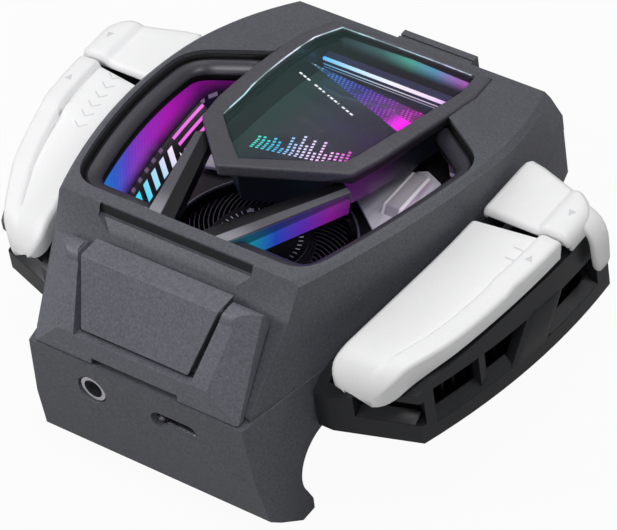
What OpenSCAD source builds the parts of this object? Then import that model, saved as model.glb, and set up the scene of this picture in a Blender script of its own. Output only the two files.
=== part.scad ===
// Clip-on phone cooling fan: a fixed front jaw with two sockets, a sprung rear clamp,
// a blower under an open roof with a clear visor, two finned side wings with two keys
// each, and a fold-out stand. X runs along the phone, Y from front jaw to rear clamp.

/* [Housing] */
// Width of the housing at its widest
body_w = 63.4; // [62:0.1:65]
// Width of the housing at the front edge of the roof
front_w = 48; // [46:0.1:50]
// Width of the housing at the rear wall
rear_w = 52.8; // [50:0.1:56]
// Distance from the jaw's lower front edge to the rear wall
body_l = 82.5; // [81.5:0.1:83.5]
// Distance from the jaw's lower front edge to the widest place
wide_y = 57; // [52:0.5:60]
// Height of the roof's front edge above the jaw's lower front edge
roof_front_h = 40.2; // [39:0.1:42]
// Height of the roof's rear edge above the jaw's lower front edge
roof_rear_h = 27.5; // [26:0.1:29]
// Height of the seam between the lower and upper shells
seam_h = 21.2; // [20.5:0.1:22]
// Height of the housing's underside
deck_h = 11.4; // [11:0.1:12]
// Thickness of the moulded walls
wall = 1.8; // [1.4:0.1:2.2]
// Width of the solid rim between the roof's ridge and its opening
rim_w = 1.8; // [1.4:0.1:3]
// Thickness of the housing's floor
floor_t = 1.6; // [1.2:0.1:2]

/* [Front jaw] */
// How far the jaw's upright face stands forward of its lower edge
face_out = 1; // [0.5:0.1:2]
// Width of the jaw at its lip
lip_w = 47.2; // [44:0.1:50]
// Width of the jaw at the seam
jaw_top_w = 43.2; // [42:0.1:45]
// Height of the fold in the jaw's face
fold_h = 8.9; // [6:0.1:11]
// Drop of the lip below the jaw's lower front edge
lip_drop = 6.5; // [5:0.1:8]
// Depth of the jaw from its lower front edge to the bottom of the notch
notch_y = 8.4; // [7:0.1:9.5]
// Radius of the notch that takes the phone's edge
notch_r = 7; // [6.5:0.1:7.4]
// Height of the notch's centre
notch_h = 2.4; // [2:0.1:3]
// Depth of the jaw block
jaw_l = 16; // [15.5:0.1:17]

/* [Sockets] */
// Distance of the audio socket from the middle
jack_x = 9.7; // [8:0.1:12]
// Height of the audio socket
jack_h = 15.2; // [14.8:0.1:16]
// Bore radius of the audio socket
jack_r = 1.78; // [1.75:0.01:1.85]
// Depth of the audio socket's bore
jack_depth = 14; // [12:0.5:14.5]
// Distance of the power socket from the middle
port_x = 7.1; // [6.5:0.1:9]
// Height of the power socket
port_h = 15; // [14.6:0.1:16]
// Width of the power socket's mouth
port_w = 9.4; // [9.2:0.1:9.8]
// Height of the power socket's mouth
port_t = 3.6; // [3.4:0.1:3.8]
// Width of the plug that enters the phone
plug_w = 8.3; // [8.2:0.05:8.4]
// Thickness of the plug that enters the phone
plug_t = 2.4; // [2.3:0.05:2.5]
// Length of the plug that stands out of the notch
plug_l = 6.4; // [6:0.1:6.8]

/* [Stand] */
// Width of the stand
stand_w = 41.4; // [40:0.1:42]
// Height of the stand's hinge axis
hinge_h = 35.3; // [35:0.1:35.6]
// Distance of the stand's hinge axis behind the jaw's lower edge
hinge_y = 8.7; // [8.5:0.1:8.9]
// Radius of the stand's hinge barrels
barrel_r = 2.3; // [2:0.05:2.4]
// Radius of the stand's hinge pins
pin_r = 0.8; // [0.6:0.05:1]
// Width of the cover between the stand's ears, at its top
cover_w = 27.6; // [25:0.1:28.5]
// Width of that cover at its foot
cover_foot_w = 21.6; // [19:0.1:23]
// Width of the finger notch in the stand's lower bar
finger_w = 19.8; // [16:0.1:22]

/* [Visor] */
// Height of the visor's front point
visor_tip_h = 46.2; // [45:0.1:47]
// Distance of the visor's front point behind the jaw's lower edge
visor_tip_y = 27.3; // [26:0.1:28]
// Distance of the visor's side corners behind the jaw's lower edge
visor_corner_y = 42.2; // [41:0.1:43]
// Width of the visor across its side corners
visor_corner_w = 30.4; // [29:0.1:31]
// Greatest width of the visor
visor_w = 35.6; // [35:0.1:36.4]
// Width of the visor's frame beside the lens
bezel_w = 3.8; // [3:0.1:4.5]
// Thickness of the visor's frame
bezel_t = 2.5; // [2:0.1:3]
// Thickness of the lens
lens_t = 1.4; // [1:0.1:1.8]
// Depth of the display tray under the visor
tray_d = 6; // [5:0.1:7]
// Wall of the display tray
tray_wall = 1.2; // [1:0.1:1.5]
// Thickness of the display panel
panel_t = 1.2; // [0.8:0.1:1.5]

/* [Fan] */
// Distance of the fan's axis behind the jaw's lower edge
fan_y = 33.8; // [33:0.1:34.5]
// Outer radius of the impeller
fan_r = 15.6; // [15:0.1:16]
// Radius of the impeller's hub
hub_r = 9.4; // [9:0.1:10]
// Height of the hub's face
hub_h = 23.4; // [23:0.1:24]
// Number of impeller blades
blade_count = 37; // [21:2:45]
// Thickness of an impeller blade
blade_t = 0.6; // [0.5:0.05:0.8]
// Radius of the fan's shaft
shaft_r = 1; // [0.8:0.05:1.2]

/* [Cooler] */
// Width of the cooling module
module_w = 22; // [20:0.5:24]
// Length of the cooling module
module_l = 17; // [15:0.5:18]
// Thickness of the cooling module
module_t = 3.6; // [3.2:0.1:4]
// Front edge of the cooling module behind the jaw's lower edge
module_y = 51; // [50.5:0.1:52]
// Thickness of the pad that touches the phone
pad_t = 1.2; // [0.8:0.1:1.4]
// Radius of the heat pipes
pipe_r = 1.3; // [1.1:0.05:1.4]
// Thickness of one fin
fin_t = 0.6; // [0.5:0.05:0.8]
// Distance from one fin to the next
fin_pitch = 2.2; // [2:0.1:3]

/* [Wings] */
// Overall width across the wings' outer walls
wing_span = 98.6; // [97.6:0.1:99]
// Height of the wings' rim where it is highest
wing_rim_h = 26.9; // [26.6:0.1:27.2]
// Height of the fin stacks inside the wings
fins_h = 9.9; // [9.4:0.1:10]
// Distance of the wings' front corner behind the jaw's lower edge
wing_front_y = 18.2; // [17.5:0.1:19]
// Distance of the wings' rear corner behind the jaw's lower edge
wing_rear_y = 63; // [61.5:0.1:64]
// Width across the wings' front corners
wing_front_w = 85; // [83:0.1:87]
// Thickness of the wings' walls
wing_wall = 2; // [1.6:0.1:2.4]

/* [Keys] */
// Gap between the wings' rim and the keys' lower edges
key_float = 1.2; // [1:0.05:1.5]
// Height of the keys from lower edge to top face
key_depth = 2.1; // [1.9:0.05:2.5]
// Thickness of the keys' shell
key_wall = 1.4; // [1.2:0.1:1.6]
// Height of the raised strip on the keys
strip_t = 1.1; // [0.8:0.1:1.3]
// Width of the gap between the long and the short key
key_gap = 1.6; // [1.2:0.1:2]
// Distance of the gap behind the jaw's lower edge
key_split_y = 51.6; // [50.5:0.1:52.5]
// Distance of the key rods from the middle
rod_x = 36.6; // [36.5:0.05:36.8]
// Drop of the key rods below the keys' top faces
rod_drop = 3.7; // [3.6:0.05:3.8]
// Radius of the key rods
rod_r = 0.7; // [0.6:0.05:0.8]
// How far the hooks of the short keys stand outside the wings
hook_out = 2.6; // [2.5:0.05:3]

/* [Rear clamp] */
// Free length between the notches of the two jaws
grip_gap = 75; // [74:0.5:76]
// Width of the rear clamp
clamp_w = 38; // [37.5:0.1:39]
// Height of the rear clamp's top
clamp_h = 22.3; // [21.5:0.1:23]
// Wall of the rear clamp behind its notch
clamp_wall = 5.5; // [5:0.1:6]
// Distance of the guide rods from the middle
guide_x = 16.2; // [16:0.1:16.6]
// Height of the guide rods
guide_h = 16.2; // [16:0.1:16.6]
// Radius of the guide rods
guide_r = 1.5; // [1.3:0.05:1.6]
// Inner end of the guide rods behind the jaw's lower edge
guide_y = 59; // [58.5:0.1:60]

/* [Clearances] */
// Gap round a part that turns on a pin
run_gap = 0.05; // [0.03:0.01:0.08]
// Gap between neighbouring mouldings
fit_gap = 0.3; // [0.2:0.05:0.4]
// Gap between parts that lie against each other in one body
seat_gap = 0.05; // [0.02:0.01:0.1]

/* [Hidden] */
$fn = 64;

eps = 0.01;
big = 200;

// Places that several parts share
rear_notch_y = notch_y + grip_gap;
rear_y = rear_notch_y + clamp_wall;
mid_y = (rear_y - face_out) / 2;
floor_top = deck_h + floor_t;
roof_y = 15.3;
roof_l = body_l - roof_y;
slope_y = 12.3;
slope_low_h = seam_h + 1;
slope_top_h = roof_front_h - 5;
slope_front_y = 1.4;
slope_rate = (slope_top_h - slope_low_h) / (slope_y - slope_front_y);

// Half width of the roof's ridge, an arc-like curve that is widest at wide_y
function half_w(y) = y < wide_y
    ? body_w / 2 - (body_w - front_w) / 2 * pow((wide_y - y) / (wide_y - roof_y), 2)
    : body_w / 2 - (body_w - rear_w) / 2 * pow((y - wide_y) / (body_l - wide_y), 2);

// Half width of the housing's side below the ridge, which swells towards the rear
side_out = 0.6;
side_rear = 1.5;
function side_over(y) = side_out
    + (y > wide_y ? side_rear * pow((y - wide_y) / (body_l - wide_y), 2) : 0);
function side_w(y) = half_w(y) + side_over(y);

// Height of the ridge, which falls slowly at first and faster towards the rear
ridge_fall = 0.06;
function ridge_h(y) = roof_front_h - ridge_fall * (y - roof_y)
    - (roof_front_h - roof_rear_h - ridge_fall * roof_l) * pow((y - roof_y) / roof_l, 2);

// Height of the roof inside the ridge, and of the sloped front below the roof
roof_rise = 0.9;
function roof_h(y) = ridge_h(y) + roof_rise;
function slope_h(y) = slope_low_h + slope_rate * (y - slope_front_y);
function slope_at(h) = (h - slope_low_h) / slope_rate + slope_front_y;

// Half width of a wing's outer wall
function wing_x(y) = wing_span / 2
    - (wing_span - wing_front_w) / 2 * pow((y - wide_y) / (wide_y - wing_front_y), 2);

// Height of a wing's rim, which falls in a curve towards the front
rim_flat_y = 47;
rim_bow = 0.0048;
function rim_h(y) = wing_rim_h - rim_bow * pow(max(0, rim_flat_y - y), 2);

// Evenly spaced values from a to b
function steps(a, b, n) = [for (i = [0 : n]) a + (b - a) * i / n];

// A half outline from the middle of the front to the middle of the rear, made whole
function whole(half) = concat(half,
    [for (i = [len(half) - 2 : -1 : 1]) [-half[i][0], half[i][1], half[i][2]]]);

// Points moved along z
function lifted(points, d) = [for (p = points) [p[0], p[1], p[2] + d]];

// Standing frame: the lips rest on z = 0 and the object is centred on x = y = 0
module place() {
    translate([0, -mid_y, lip_drop]) children();
}

// Profile in y and z drawn out along x, from -w / 2 to w / 2
module across(w) {
    rotate([90, 0, 90]) translate([0, 0, -w / 2]) linear_extrude(w) children();
}

// Profile in x and z drawn out along y, from y0 to y1
module along(y0, y1) {
    translate([0, y1, 0]) rotate([90, 0, 0]) linear_extrude(y1 - y0) children();
}

// Round-ended slot outline
module stadium(w, t) {
    square([w - t, t], center = true);
    for (s = [-1, 1]) translate([s * (w - t) / 2, 0]) circle(d = t);
}

// Solid through a row of rings with the same number of points
module loft(rings) {
    n = len(rings[0]);
    m = len(rings);
    points = [for (r = rings) each r];
    sides = [for (i = [0 : m - 2], j = [0 : n - 1])
        let (a = i * n + j, b = a + n, c = (i + 1) * n + (j + 1) % n, d = c - n)
        each [[a, d, c], [a, c, b]]];
    front = [for (j = [n - 1 : -1 : 0]) j];
    back = [for (j = [0 : n - 1]) (m - 1) * n + j];
    polyhedron(points, concat([front], sides, [back]));
}

// Plate under a closed line of top points, of even depth
module slab(top, depth) {
    n = len(top);
    centre = [for (k = [0 : 2]) [for (p = top) p[k]] * [for (p = top) 1] / n];
    points = concat(top, lifted(top, -depth), [centre, centre - [0, 0, depth]]);
    faces = [for (j = [0 : n - 1])
        let (k = (j + 1) % n)
        each [[2 * n, k, j], [2 * n + 1, n + j, n + k], [n + j, j, k], [n + j, k, n + k]]];
    polyhedron(points, faces);
}

// Ring between two closed lines of top points, of even depth
module ring_slab(outer, inner, depth) {
    n = len(outer);
    points = concat(outer, inner, lifted(outer, -depth), lifted(inner, -depth));
    faces = [for (j = [0 : n - 1])
        let (k = (j + 1) % n, ot = 0, it = n, ob = 2 * n, ib = 3 * n)
        each [
            [ot + j, it + j, it + k], [ot + j, it + k, ot + k],
            [ob + j, ib + k, ib + j], [ob + j, ob + k, ib + k],
            [ob + j, ot + j, ot + k], [ob + j, ot + k, ob + k],
            [ib + j, it + k, it + j], [ib + j, ib + k, it + k]
        ]];
    polyhedron(points, faces);
}

// Front jaw

// Side profile of the jaw with its lip and the notch for the phone's edge
lip_flat = 3.2;
lip_tip_t = 2.4;
lip_reach = 2.2;
module jaw_profile() {
    lip_y = notch_y + lip_reach;
    notch_c = notch_y + notch_r;
    difference() {
        polygon([
            [0, 0], [lip_y - lip_flat, -lip_drop], [lip_y, -lip_drop],
            [lip_y, -lip_drop + lip_tip_t], [notch_y + notch_r / 8, notch_h - notch_r * 0.48],
            [notch_c, notch_h], [notch_c, deck_h], [jaw_l, deck_h], [jaw_l, seam_h],
            [-face_out, seam_h], [-face_out, fold_h]
        ]);
        translate([notch_c, notch_h]) circle(notch_r);
    }
}

// Outer bounds of the jaw, which widens at its back to meet the lower shell
function jaw_ring(y, top_half) = [
    [lip_w / 2, y, -lip_drop], [top_half, y, seam_h],
    [-top_half, y, seam_h], [-lip_w / 2, y, -lip_drop]
];
module jaw_taper() {
    loft([jaw_ring(-face_out, jaw_top_w / 2), jaw_ring(jaw_l, side_w(jaw_l))]);
}

// Sockets are cut from the front face; the jack barrel and the power socket fill them
jack_wall = 0.7;
jack_out_r = jack_r + jack_wall;
jack_end_y = jack_depth + jack_wall - face_out;
socket_l = 8;
plug_x = 0;
plug_root = 4;
module front_jaw() {
    color([0.27, 0.27, 0.3]) place() difference() {
        intersection() {
            across(big) jaw_profile();
            jaw_taper();
        }
        translate([-jack_x, 0, jack_h]) {
            along(-face_out - 1, jack_end_y + seat_gap) circle(jack_out_r + seat_gap);
            along(-face_out - 1, -face_out + jack_wall) circle(jack_out_r + jack_wall / 2);
        }
        translate([port_x, 0, port_h])
            along(-face_out - 1, socket_l) stadium(port_w, port_t);
        translate([plug_x, 0, notch_h])
            along(notch_y - plug_root, jaw_l) stadium(plug_w + seat_gap * 2, plug_t + seat_gap * 2);
    }
}

// Rubber strips that line the jaws' notches either side of the plug
strip_in = 3;
strip_rubber = 0.8;
module notch_rubber(x0, x1) {
    translate([(x0 + x1) / 2, 0, 0]) across(x1 - x0) intersection() {
        difference() {
            circle(notch_r - seat_gap);
            circle(notch_r - seat_gap - strip_rubber);
        }
        translate([-notch_r, -notch_r / 3]) square([notch_r, notch_r * 2 / 3]);
    }
}

module jaw_pad() {
    color([0.12, 0.12, 0.13]) place() for (s = [0, 1]) mirror([s, 0, 0])
        translate([0, notch_y + notch_r, notch_h])
            notch_rubber(plug_w / 2 + strip_in, lip_w / 2 - strip_in);
}

// Power socket: bent metal shell, back wall and the tongue that carries the contacts
socket_wall = 0.35;
tongue_t = 0.7;
tongue_w = 6.6;
module power_socket() {
    color("silver") place() translate([port_x, 0, port_h]) {
        along(0, socket_l - seat_gap) difference() {
            stadium(port_w - seat_gap * 2, port_t - seat_gap * 2);
            stadium(port_w - seat_gap * 2 - socket_wall * 2, port_t - seat_gap * 2 - socket_wall * 2);
        }
        along(socket_l - seat_gap - 1, socket_l - seat_gap)
            stadium(port_w - seat_gap * 2, port_t - seat_gap * 2);
        along(1.2, socket_l - 1) square([tongue_w, tongue_t], center = true);
    }
}

// Audio socket: plated barrel with the bore for a 3.5 mm plug
module audio_socket() {
    color("silver") place() translate([-jack_x, 0, jack_h]) difference() {
        along(-face_out + jack_wall / 2, jack_end_y) circle(jack_out_r);
        along(-face_out - 1, jack_depth - face_out) circle(jack_r);
    }
}

// Plug that enters the phone, with an open mouth round its contacts
plug_wall = 0.4;
plug_mouth = 5;
module phone_plug() {
    color("silver") place() translate([plug_x, 0, notch_h]) difference() {
        along(notch_y - plug_root + seat_gap, notch_y + plug_l) stadium(plug_w, plug_t);
        along(notch_y + plug_l - plug_mouth, notch_y + plug_l + 1)
            stadium(plug_w - plug_wall * 2, plug_t - plug_wall * 2);
    }
}

// Lower shell

// Plan of the housing between two distances, drawn in by an inset
plan_steps = 26;
module plan(y0, y1, inset) {
    ys = steps(y0, y1, plan_steps);
    polygon(concat(
        [for (y = ys) [side_w(y) - inset, y]],
        [for (i = [plan_steps : -1 : 0]) [inset - side_w(ys[i]), ys[i]]]
    ));
}

// Bosses take the case screws and carry the inner deck
boss_r = 2.4;
screw_r = 0.9;
screw_head_r = 1.8;
screw_head_t = 1;
boss_wall_gap = 1;
boss_ys = [jaw_l + 5.5, body_l - 7];
module at_bosses() {
    for (s = [-1, 1], y = boss_ys)
        translate([s * (side_w(y) - wall - boss_r - boss_wall_gap), y, 0]) children();
}

// Window through which the blower drives air into a wing
vent_y0 = 24;
vent_y1 = 60;
vent_h0 = deck_h + 3;
vent_h1 = seam_h - 1;
plate_w = module_w + 4;
plate_l = module_l + 4;
plate_y = module_y - 2;
module lower_shell() {
    color([0.25, 0.25, 0.28]) place() difference() {
        union() {
            difference() {
                translate([0, 0, deck_h]) linear_extrude(seam_h - deck_h)
                    plan(jaw_l, body_l, 0);
                translate([0, 0, floor_top]) linear_extrude(big)
                    plan(jaw_l + wall, body_l - wall, wall);
            }
            at_bosses() translate([0, 0, deck_h]) cylinder(r = boss_r, h = seam_h - deck_h);
        }
        translate([-plate_w / 2, plate_y, 0]) cube([plate_w, plate_l, floor_top + 1]);
        translate([-big / 2, vent_y0, vent_h0]) cube([big, vent_y1 - vent_y0, vent_h1 - vent_h0]);
        at_bosses() {
            translate([0, 0, deck_h - 1]) cylinder(r = screw_r + seat_gap, h = big);
            translate([0, 0, deck_h - 1]) cylinder(r = screw_head_r + seat_gap, h = 1 + screw_head_t);
        }
        for (s = [-1, 1]) translate([s * guide_x, 0, guide_h])
            along(body_l - wall - 1, body_l + 1) circle(guide_r + run_gap);
    }
}

// Countersunk case screws, one per boss
module case_screws() {
    color("dimgray") place() at_bosses() {
        translate([0, 0, deck_h]) cylinder(r = screw_head_r, h = screw_head_t);
        translate([0, 0, deck_h]) cylinder(r = screw_r, h = seam_h - deck_h - 1);
    }
}

// Upper shell

// Ring of the shell at a distance y, drawn in on every side by an inset
ridge_in = 1.1;
flank_h = 6;
function shell_ring(y, inset) =
    let (
        front = y < roof_y,
        low = front ? slope_h(min(y, slope_y))
            + max(0, y - slope_y) / (roof_y - slope_y) * (roof_front_h - slope_top_h) : ridge_h(y),
        ridge_w = front
            ? jaw_top_w / 2 + (half_w(roof_y) - jaw_top_w / 2) * (y - slope_front_y) / (roof_y - slope_front_y)
            : half_w(y),
        out = front ? side_out * (y - slope_front_y) / (roof_y - slope_front_y) : side_over(y),
        rise = front ? roof_rise * max(0, y - slope_y) / (roof_y - slope_y) : roof_rise,
        base = inset > 0 ? seam_h - 1 : seam_h,
        flank = min(base + flank_h, (base + low - inset) / 2),
        right = [
            [ridge_w + out - inset, y, base],
            [ridge_w + out - inset, y, flank],
            [ridge_w - inset, y, low - inset],
            [ridge_w - ridge_in - inset, y, low + rise - inset]
        ]
    )
    concat(right, [for (i = [3 : -1 : 0]) [-right[i][0], right[i][1], right[i][2]]]);

// Plan of the roof's opening: follows the ridge, then closes in to the visor's sides
opening_y = 18;
opening_wide_y = 57.3;
opening_close_y = 65.5;
visor_seat = 0.1;
opening_steps = 14;
opening_turn = 4.6;
turn_steps = 5;
function opening_edge(y) = [half_w(y) - rim_w, y];
function turned(a, b, c) = [for (i = [0 : turn_steps])
    let (t = i / turn_steps)
    (1 - t) * (1 - t) * a + 2 * t * (1 - t) * b + t * t * c];
module roof_opening() {
    side = [for (y = steps(opening_y + opening_turn + 2, opening_wide_y - opening_turn - 2, opening_steps))
        opening_edge(y)];
    front = opening_edge(opening_y);
    wide = opening_edge(opening_wide_y);
    close = [visor_w / 2 + visor_seat, opening_close_y];
    front_turn = turned(front - [opening_turn, 0], front, opening_edge(opening_y + opening_turn));
    wide_turn = turned(opening_edge(opening_wide_y - opening_turn), wide,
        wide + (close - wide) / norm(close - wide) * opening_turn);
    neck = [for (p = visor_half) if (p[0] > 0 && p[1] > opening_close_y) [p[0] + visor_seat, p[1]]];
    last = neck[len(neck) - 1];
    half = concat(front_turn, side, wide_turn, [close], neck, [last + [0, visor_seat]]);
    polygon(concat(half, [for (i = [len(half) - 1 : -1 : 0]) [-half[i][0], half[i][1]]]));
}

// Recess in the steep face behind the stand's cover, with a thicker wall behind it
slot_low_h = slope_top_h + 1.4;
slot_floor_h = slope_top_h + 3.4;
slot_floor_y = roof_y - 0.3;
slot_back_y = roof_y + 0.45;
slot_foot_w = 25.2;
slot_w = 30.6;
slot_wall_w = slot_w + 5;
module slot_profile() {
    polygon([
        [slope_front_y, slot_low_h], [slot_floor_y - 2.1, slot_low_h], [slot_floor_y, slot_floor_h],
        [slot_back_y, roof_front_h + roof_rise + 0.7], [slope_front_y, roof_front_h + roof_rise + 0.7]
    ]);
}

module slot_front() {
    polygon([for (s = [1, -1], q = s > 0
        ? [[slot_foot_w / 2 - 1.2, slot_low_h - 0.1], [slot_foot_w / 2, slot_low_h + 0.2],
            [slot_foot_w / 2 + 0.9, slot_low_h + 1], [slot_w / 2, slot_floor_h + 0.4], [slot_w / 2, roof_front_h + 3]]
        : [[slot_w / 2, roof_front_h + 3], [slot_w / 2, slot_floor_h + 0.4],
            [slot_foot_w / 2 + 0.9, slot_low_h + 1], [slot_foot_w / 2, slot_low_h + 0.2],
            [slot_foot_w / 2 - 1.2, slot_low_h - 0.1]])
        [s * q[0], q[1]]]);
}

module slot_cut() {
    intersection() {
        across(slot_wall_w) slot_profile();
        along(slope_front_y - 1, roof_y + 3) slot_front();
    }
}

module slot_backing() {
    translate([-slot_wall_w / 2, slope_y - 2, slope_top_h - 2])
        cube([slot_wall_w, opening_y - 0.35 - slope_y + 2, roof_front_h - slope_top_h + 1.1]);
}

shell_front_ys = steps(slope_front_y, slope_y, 3);
shell_roof_steps = 25;
module upper_shell() {
    ys = concat(shell_front_ys, steps(roof_y, body_l, shell_roof_steps));
    inner_ys = concat([for (y = shell_front_ys) y + wall * 1.6],
        steps(roof_y + wall, body_l - wall, shell_roof_steps));
    color([0.27, 0.27, 0.3]) place() difference() {
        loft([for (y = ys) shell_ring(y, 0)]);
        difference() {
            loft([for (y = inner_ys) shell_ring(y, wall)]);
            slot_backing();
        }
        slot_cut();
        translate([0, 0, seam_h + flank_h]) linear_extrude(big) roof_opening();
    }
}

// Stand

// Cover between the stand's ears, fixed to the sloped front
cover_front_y = 0.6;
cover_fold_y = 7.1;
cover_back_y = 11.4;
cover_foot_h = 27.3;
cover_top_h = 37.2;
module cover_profile() {
    polygon([
        [slope_at(cover_foot_h), cover_foot_h], [cover_front_y, cover_foot_h],
        [cover_fold_y, cover_top_h], [cover_back_y, cover_top_h],
        [cover_back_y, slope_h(cover_back_y)]
    ]);
}

module cover_front(grow) {
    polygon([
        [-cover_foot_w / 2 - grow, cover_foot_h - grow], [cover_foot_w / 2 + grow, cover_foot_h - grow],
        [cover_w / 2 + grow, cover_top_h + grow], [-cover_w / 2 - grow, cover_top_h + grow]
    ]);
}

module at_hinge() {
    translate([0, hinge_y, hinge_h]) children();
}

pin_in = 4;
pin_l = 9;
module stand_cover() {
    color([0.25, 0.25, 0.28]) place() difference() {
        intersection() {
            across(cover_w + 1) cover_profile();
            along(-5, 20) cover_front(0);
        }
        at_hinge() for (s = [-1, 1]) translate([s * (cover_w / 2 - pin_in / 2), 0, 0])
            rotate([0, 90, 0]) cylinder(r = pin_r + seat_gap, h = pin_in + 1, center = true);
    }
}

// Steel pins, held in the cover, on which the stand's ears turn
module stand_pins() {
    color("silver") place() at_hinge() for (s = [-1, 1])
        translate([s * (cover_w / 2 - pin_in + seat_gap + pin_l / 2), 0, 0])
            rotate([0, 90, 0]) cylinder(r = pin_r, h = pin_l, center = true);
}

// Side profile of the stand below its hinge barrels: flat bar and sloped face
stand_foot_h = seam_h + fit_gap + 0.1;
stand_face_h = 26.6;
stand_lift = 0.4;
stand_bar_y = 0.3;
module stand_profile() {
    barrel_in = barrel_r * 0.9;
    polygon([
        [stand_bar_y - face_out, stand_foot_h], [stand_bar_y - face_out + 0.4, stand_face_h],
        [hinge_y + barrel_in * cos(146), hinge_h + barrel_in * sin(146)],
        [hinge_y + barrel_in * cos(-46), hinge_h + barrel_in * sin(-46)],
        [slope_front_y, slope_h(slope_front_y) + stand_lift],
        [slope_front_y - stand_lift, stand_foot_h]
    ]);
}

finger_d = 1.2;
swing_gap = fit_gap * 3.2;
swing_r = norm([hinge_y - cover_front_y, hinge_h - cover_foot_h]) + fit_gap;
module kickstand() {
    color([0.25, 0.25, 0.28]) place() difference() {
        union() {
            across(stand_w) stand_profile();
            at_hinge() across(stand_w) circle(barrel_r);
        }
        along(-5, 20) cover_front(swing_gap);
        along(-5, 20) translate([-cover_w / 2 - swing_gap, cover_top_h - eps])
            square([cover_w + swing_gap * 2, big]);
        at_hinge() across(cover_foot_w + swing_gap * 2) circle(swing_r);
        along(-5, 20) polygon([
            [-finger_w / 2, 0], [finger_w / 2, 0],
            [finger_w / 2 - finger_d, stand_foot_h + finger_d],
            [finger_d - finger_w / 2, stand_foot_h + finger_d]
        ]);
        at_hinge() for (s = [-1, 1])
            translate([s * (cover_w / 2 - pin_in + seat_gap + pin_l / 2), 0, 0])
                rotate([0, 90, 0]) cylinder(r = pin_r + run_gap, h = pin_l + fit_gap * 2, center = true);
    }
}

// Visor

// Half outlines of the visor's frame and of its lens, with heights along the roof
visor_rear_y = body_l - wall - 0.4;
visor_lift = 0.4;
lens_tip_back = 5.7;
lens_tip_drop = 3.1;
bezel_rear = 0.72;
function visor_seat_h(y) = roof_h(y) + visor_lift;
visor_side_ys = steps(visor_corner_y + 6, visor_rear_y - 7, 5);
visor_half = concat(
    [
        [0, visor_tip_y, visor_tip_h],
        [visor_corner_w / 4, (visor_tip_y + visor_corner_y) / 2,
            (visor_tip_h + visor_seat_h(visor_corner_y)) / 2],
        [visor_corner_w / 2, visor_corner_y, visor_seat_h(visor_corner_y)]
    ],
    [for (i = [0 : 5])
        let (y = visor_side_ys[i])
        [visor_corner_w / 2 + (visor_w - visor_corner_w) / 2 * sin(30 + 12 * i), y, visor_seat_h(y)]],
    [
        [visor_w / 2 - 1.6, visor_rear_y, visor_seat_h(visor_rear_y)],
        [0, visor_rear_y, visor_seat_h(visor_rear_y) + 0.6]
    ]
);
lens_half = [for (i = [0 : len(visor_half) - 1])
    let (p = visor_half[i], last = len(visor_half) - 1)
    i == 0 ? [0, p[1] + lens_tip_back, p[2] - lens_tip_drop]
    : i == 1 ? [p[0] - bezel_w * 0.35, p[1] + bezel_w, p[2] - lens_tip_drop / 2]
    : i == last ? [0, p[1] - 1.2, p[2] + 0.3]
    : i == last - 1 ? [p[0] - bezel_w * bezel_rear, p[1] - 1.2, p[2] + 0.2]
    : i == 2 ? [p[0] - bezel_w * 0.75, p[1] + 2.2, p[2]]
    : [p[0] - bezel_w * (1 - (1 - bezel_rear) * (i - 2) / (last - 3)), p[1], p[2]]];
visor_outer = whole(visor_half);
visor_inner = whole(lens_half);

// A closed line drawn in towards a point inside it
lens_mid_y = (visor_corner_y + visor_rear_y) / 2;
function drawn_in(points, d) = [for (p = points)
    let (v = [p[0], p[1] - lens_mid_y], l = norm(v))
    [p[0] - v[0] / l * d, p[1] - v[1] / l * d, p[2]]];

module visor_bezel() {
    color([0.25, 0.25, 0.28]) place() ring_slab(visor_outer, visor_inner, bezel_t);
}

module visor_lens() {
    color([0.4, 0.6, 0.65, 0.4]) place() slab(drawn_in(visor_inner, seat_gap * 2), lens_t);
}

// Tray under the visor that holds the display panel and the light bar
tray_seat = fit_gap;
module display_tray() {
    color([0.15, 0.2, 0.4]) place() ring_slab(
        lifted(drawn_in(visor_inner, -tray_wall), -bezel_t - tray_seat),
        lifted(drawn_in(visor_inner, seat_gap), -bezel_t - tray_seat), tray_d - tray_seat);
}

module display_panel() {
    color([0.1, 0.1, 0.12]) place()
        slab(lifted(drawn_in(visor_inner, seat_gap * 2), panel_t - bezel_t - tray_d), panel_t);
}

// Light bar across the rear of the display, standing on the panel
bar_w = 28;
bar_d = 2;
bar_t = 2.4;
bar_back = 7.2;
bar_lift = 1;
bar_y = visor_rear_y - bar_back;
module light_bar() {
    color([0.7, 0.9, 1]) place()
        translate([-bar_w / 2, bar_y, roof_h(bar_y) - bezel_t - tray_d + panel_t + bar_lift])
            cube([bar_w, bar_d, bar_t]);
}

// Struts from the front of the roof to the visor's side corners
strut_in = 2.6;
strut_w = 5.2;
strut_t = 2.2;
module strut() {
    y0 = opening_y;
    y1 = visor_corner_y;
    w1 = visor_corner_w / 2;
    h1 = visor_seat_h(visor_corner_y) - bezel_t;
    slab([
        [strut_in, y0, roof_h(y0) - 0.4], [strut_in + strut_w, y0, roof_h(y0) - 0.4],
        [w1 + 0.6, y1 - 1.4, h1 - seat_gap], [w1 - 2.4, y1 + 0.2, h1 - seat_gap]
    ], strut_t);
}

module left_strut() {
    color([0.25, 0.25, 0.28]) place() mirror([1, 0, 0]) strut();
}

module right_strut() {
    color([0.25, 0.25, 0.28]) place() strut();
}

// Inside the housing

// Deck over the blower with its intake and a cut-out for the heat sink
deck_t = 1.2;
intake_gap = 0.8;
module inner_deck() {
    color([0.12, 0.12, 0.13]) place() difference() {
        translate([0, 0, seam_h]) linear_extrude(deck_t)
            plan(jaw_l + wall + fit_gap, module_y + module_l + 4, wall + fit_gap);
        translate([0, fan_y, 0]) cylinder(r = fan_r + intake_gap, h = big);
        translate([-plate_w / 2 - fit_gap, module_y - 1, 0])
            cube([plate_w + fit_gap * 2, module_l + 2, big]);
    }
}

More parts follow.
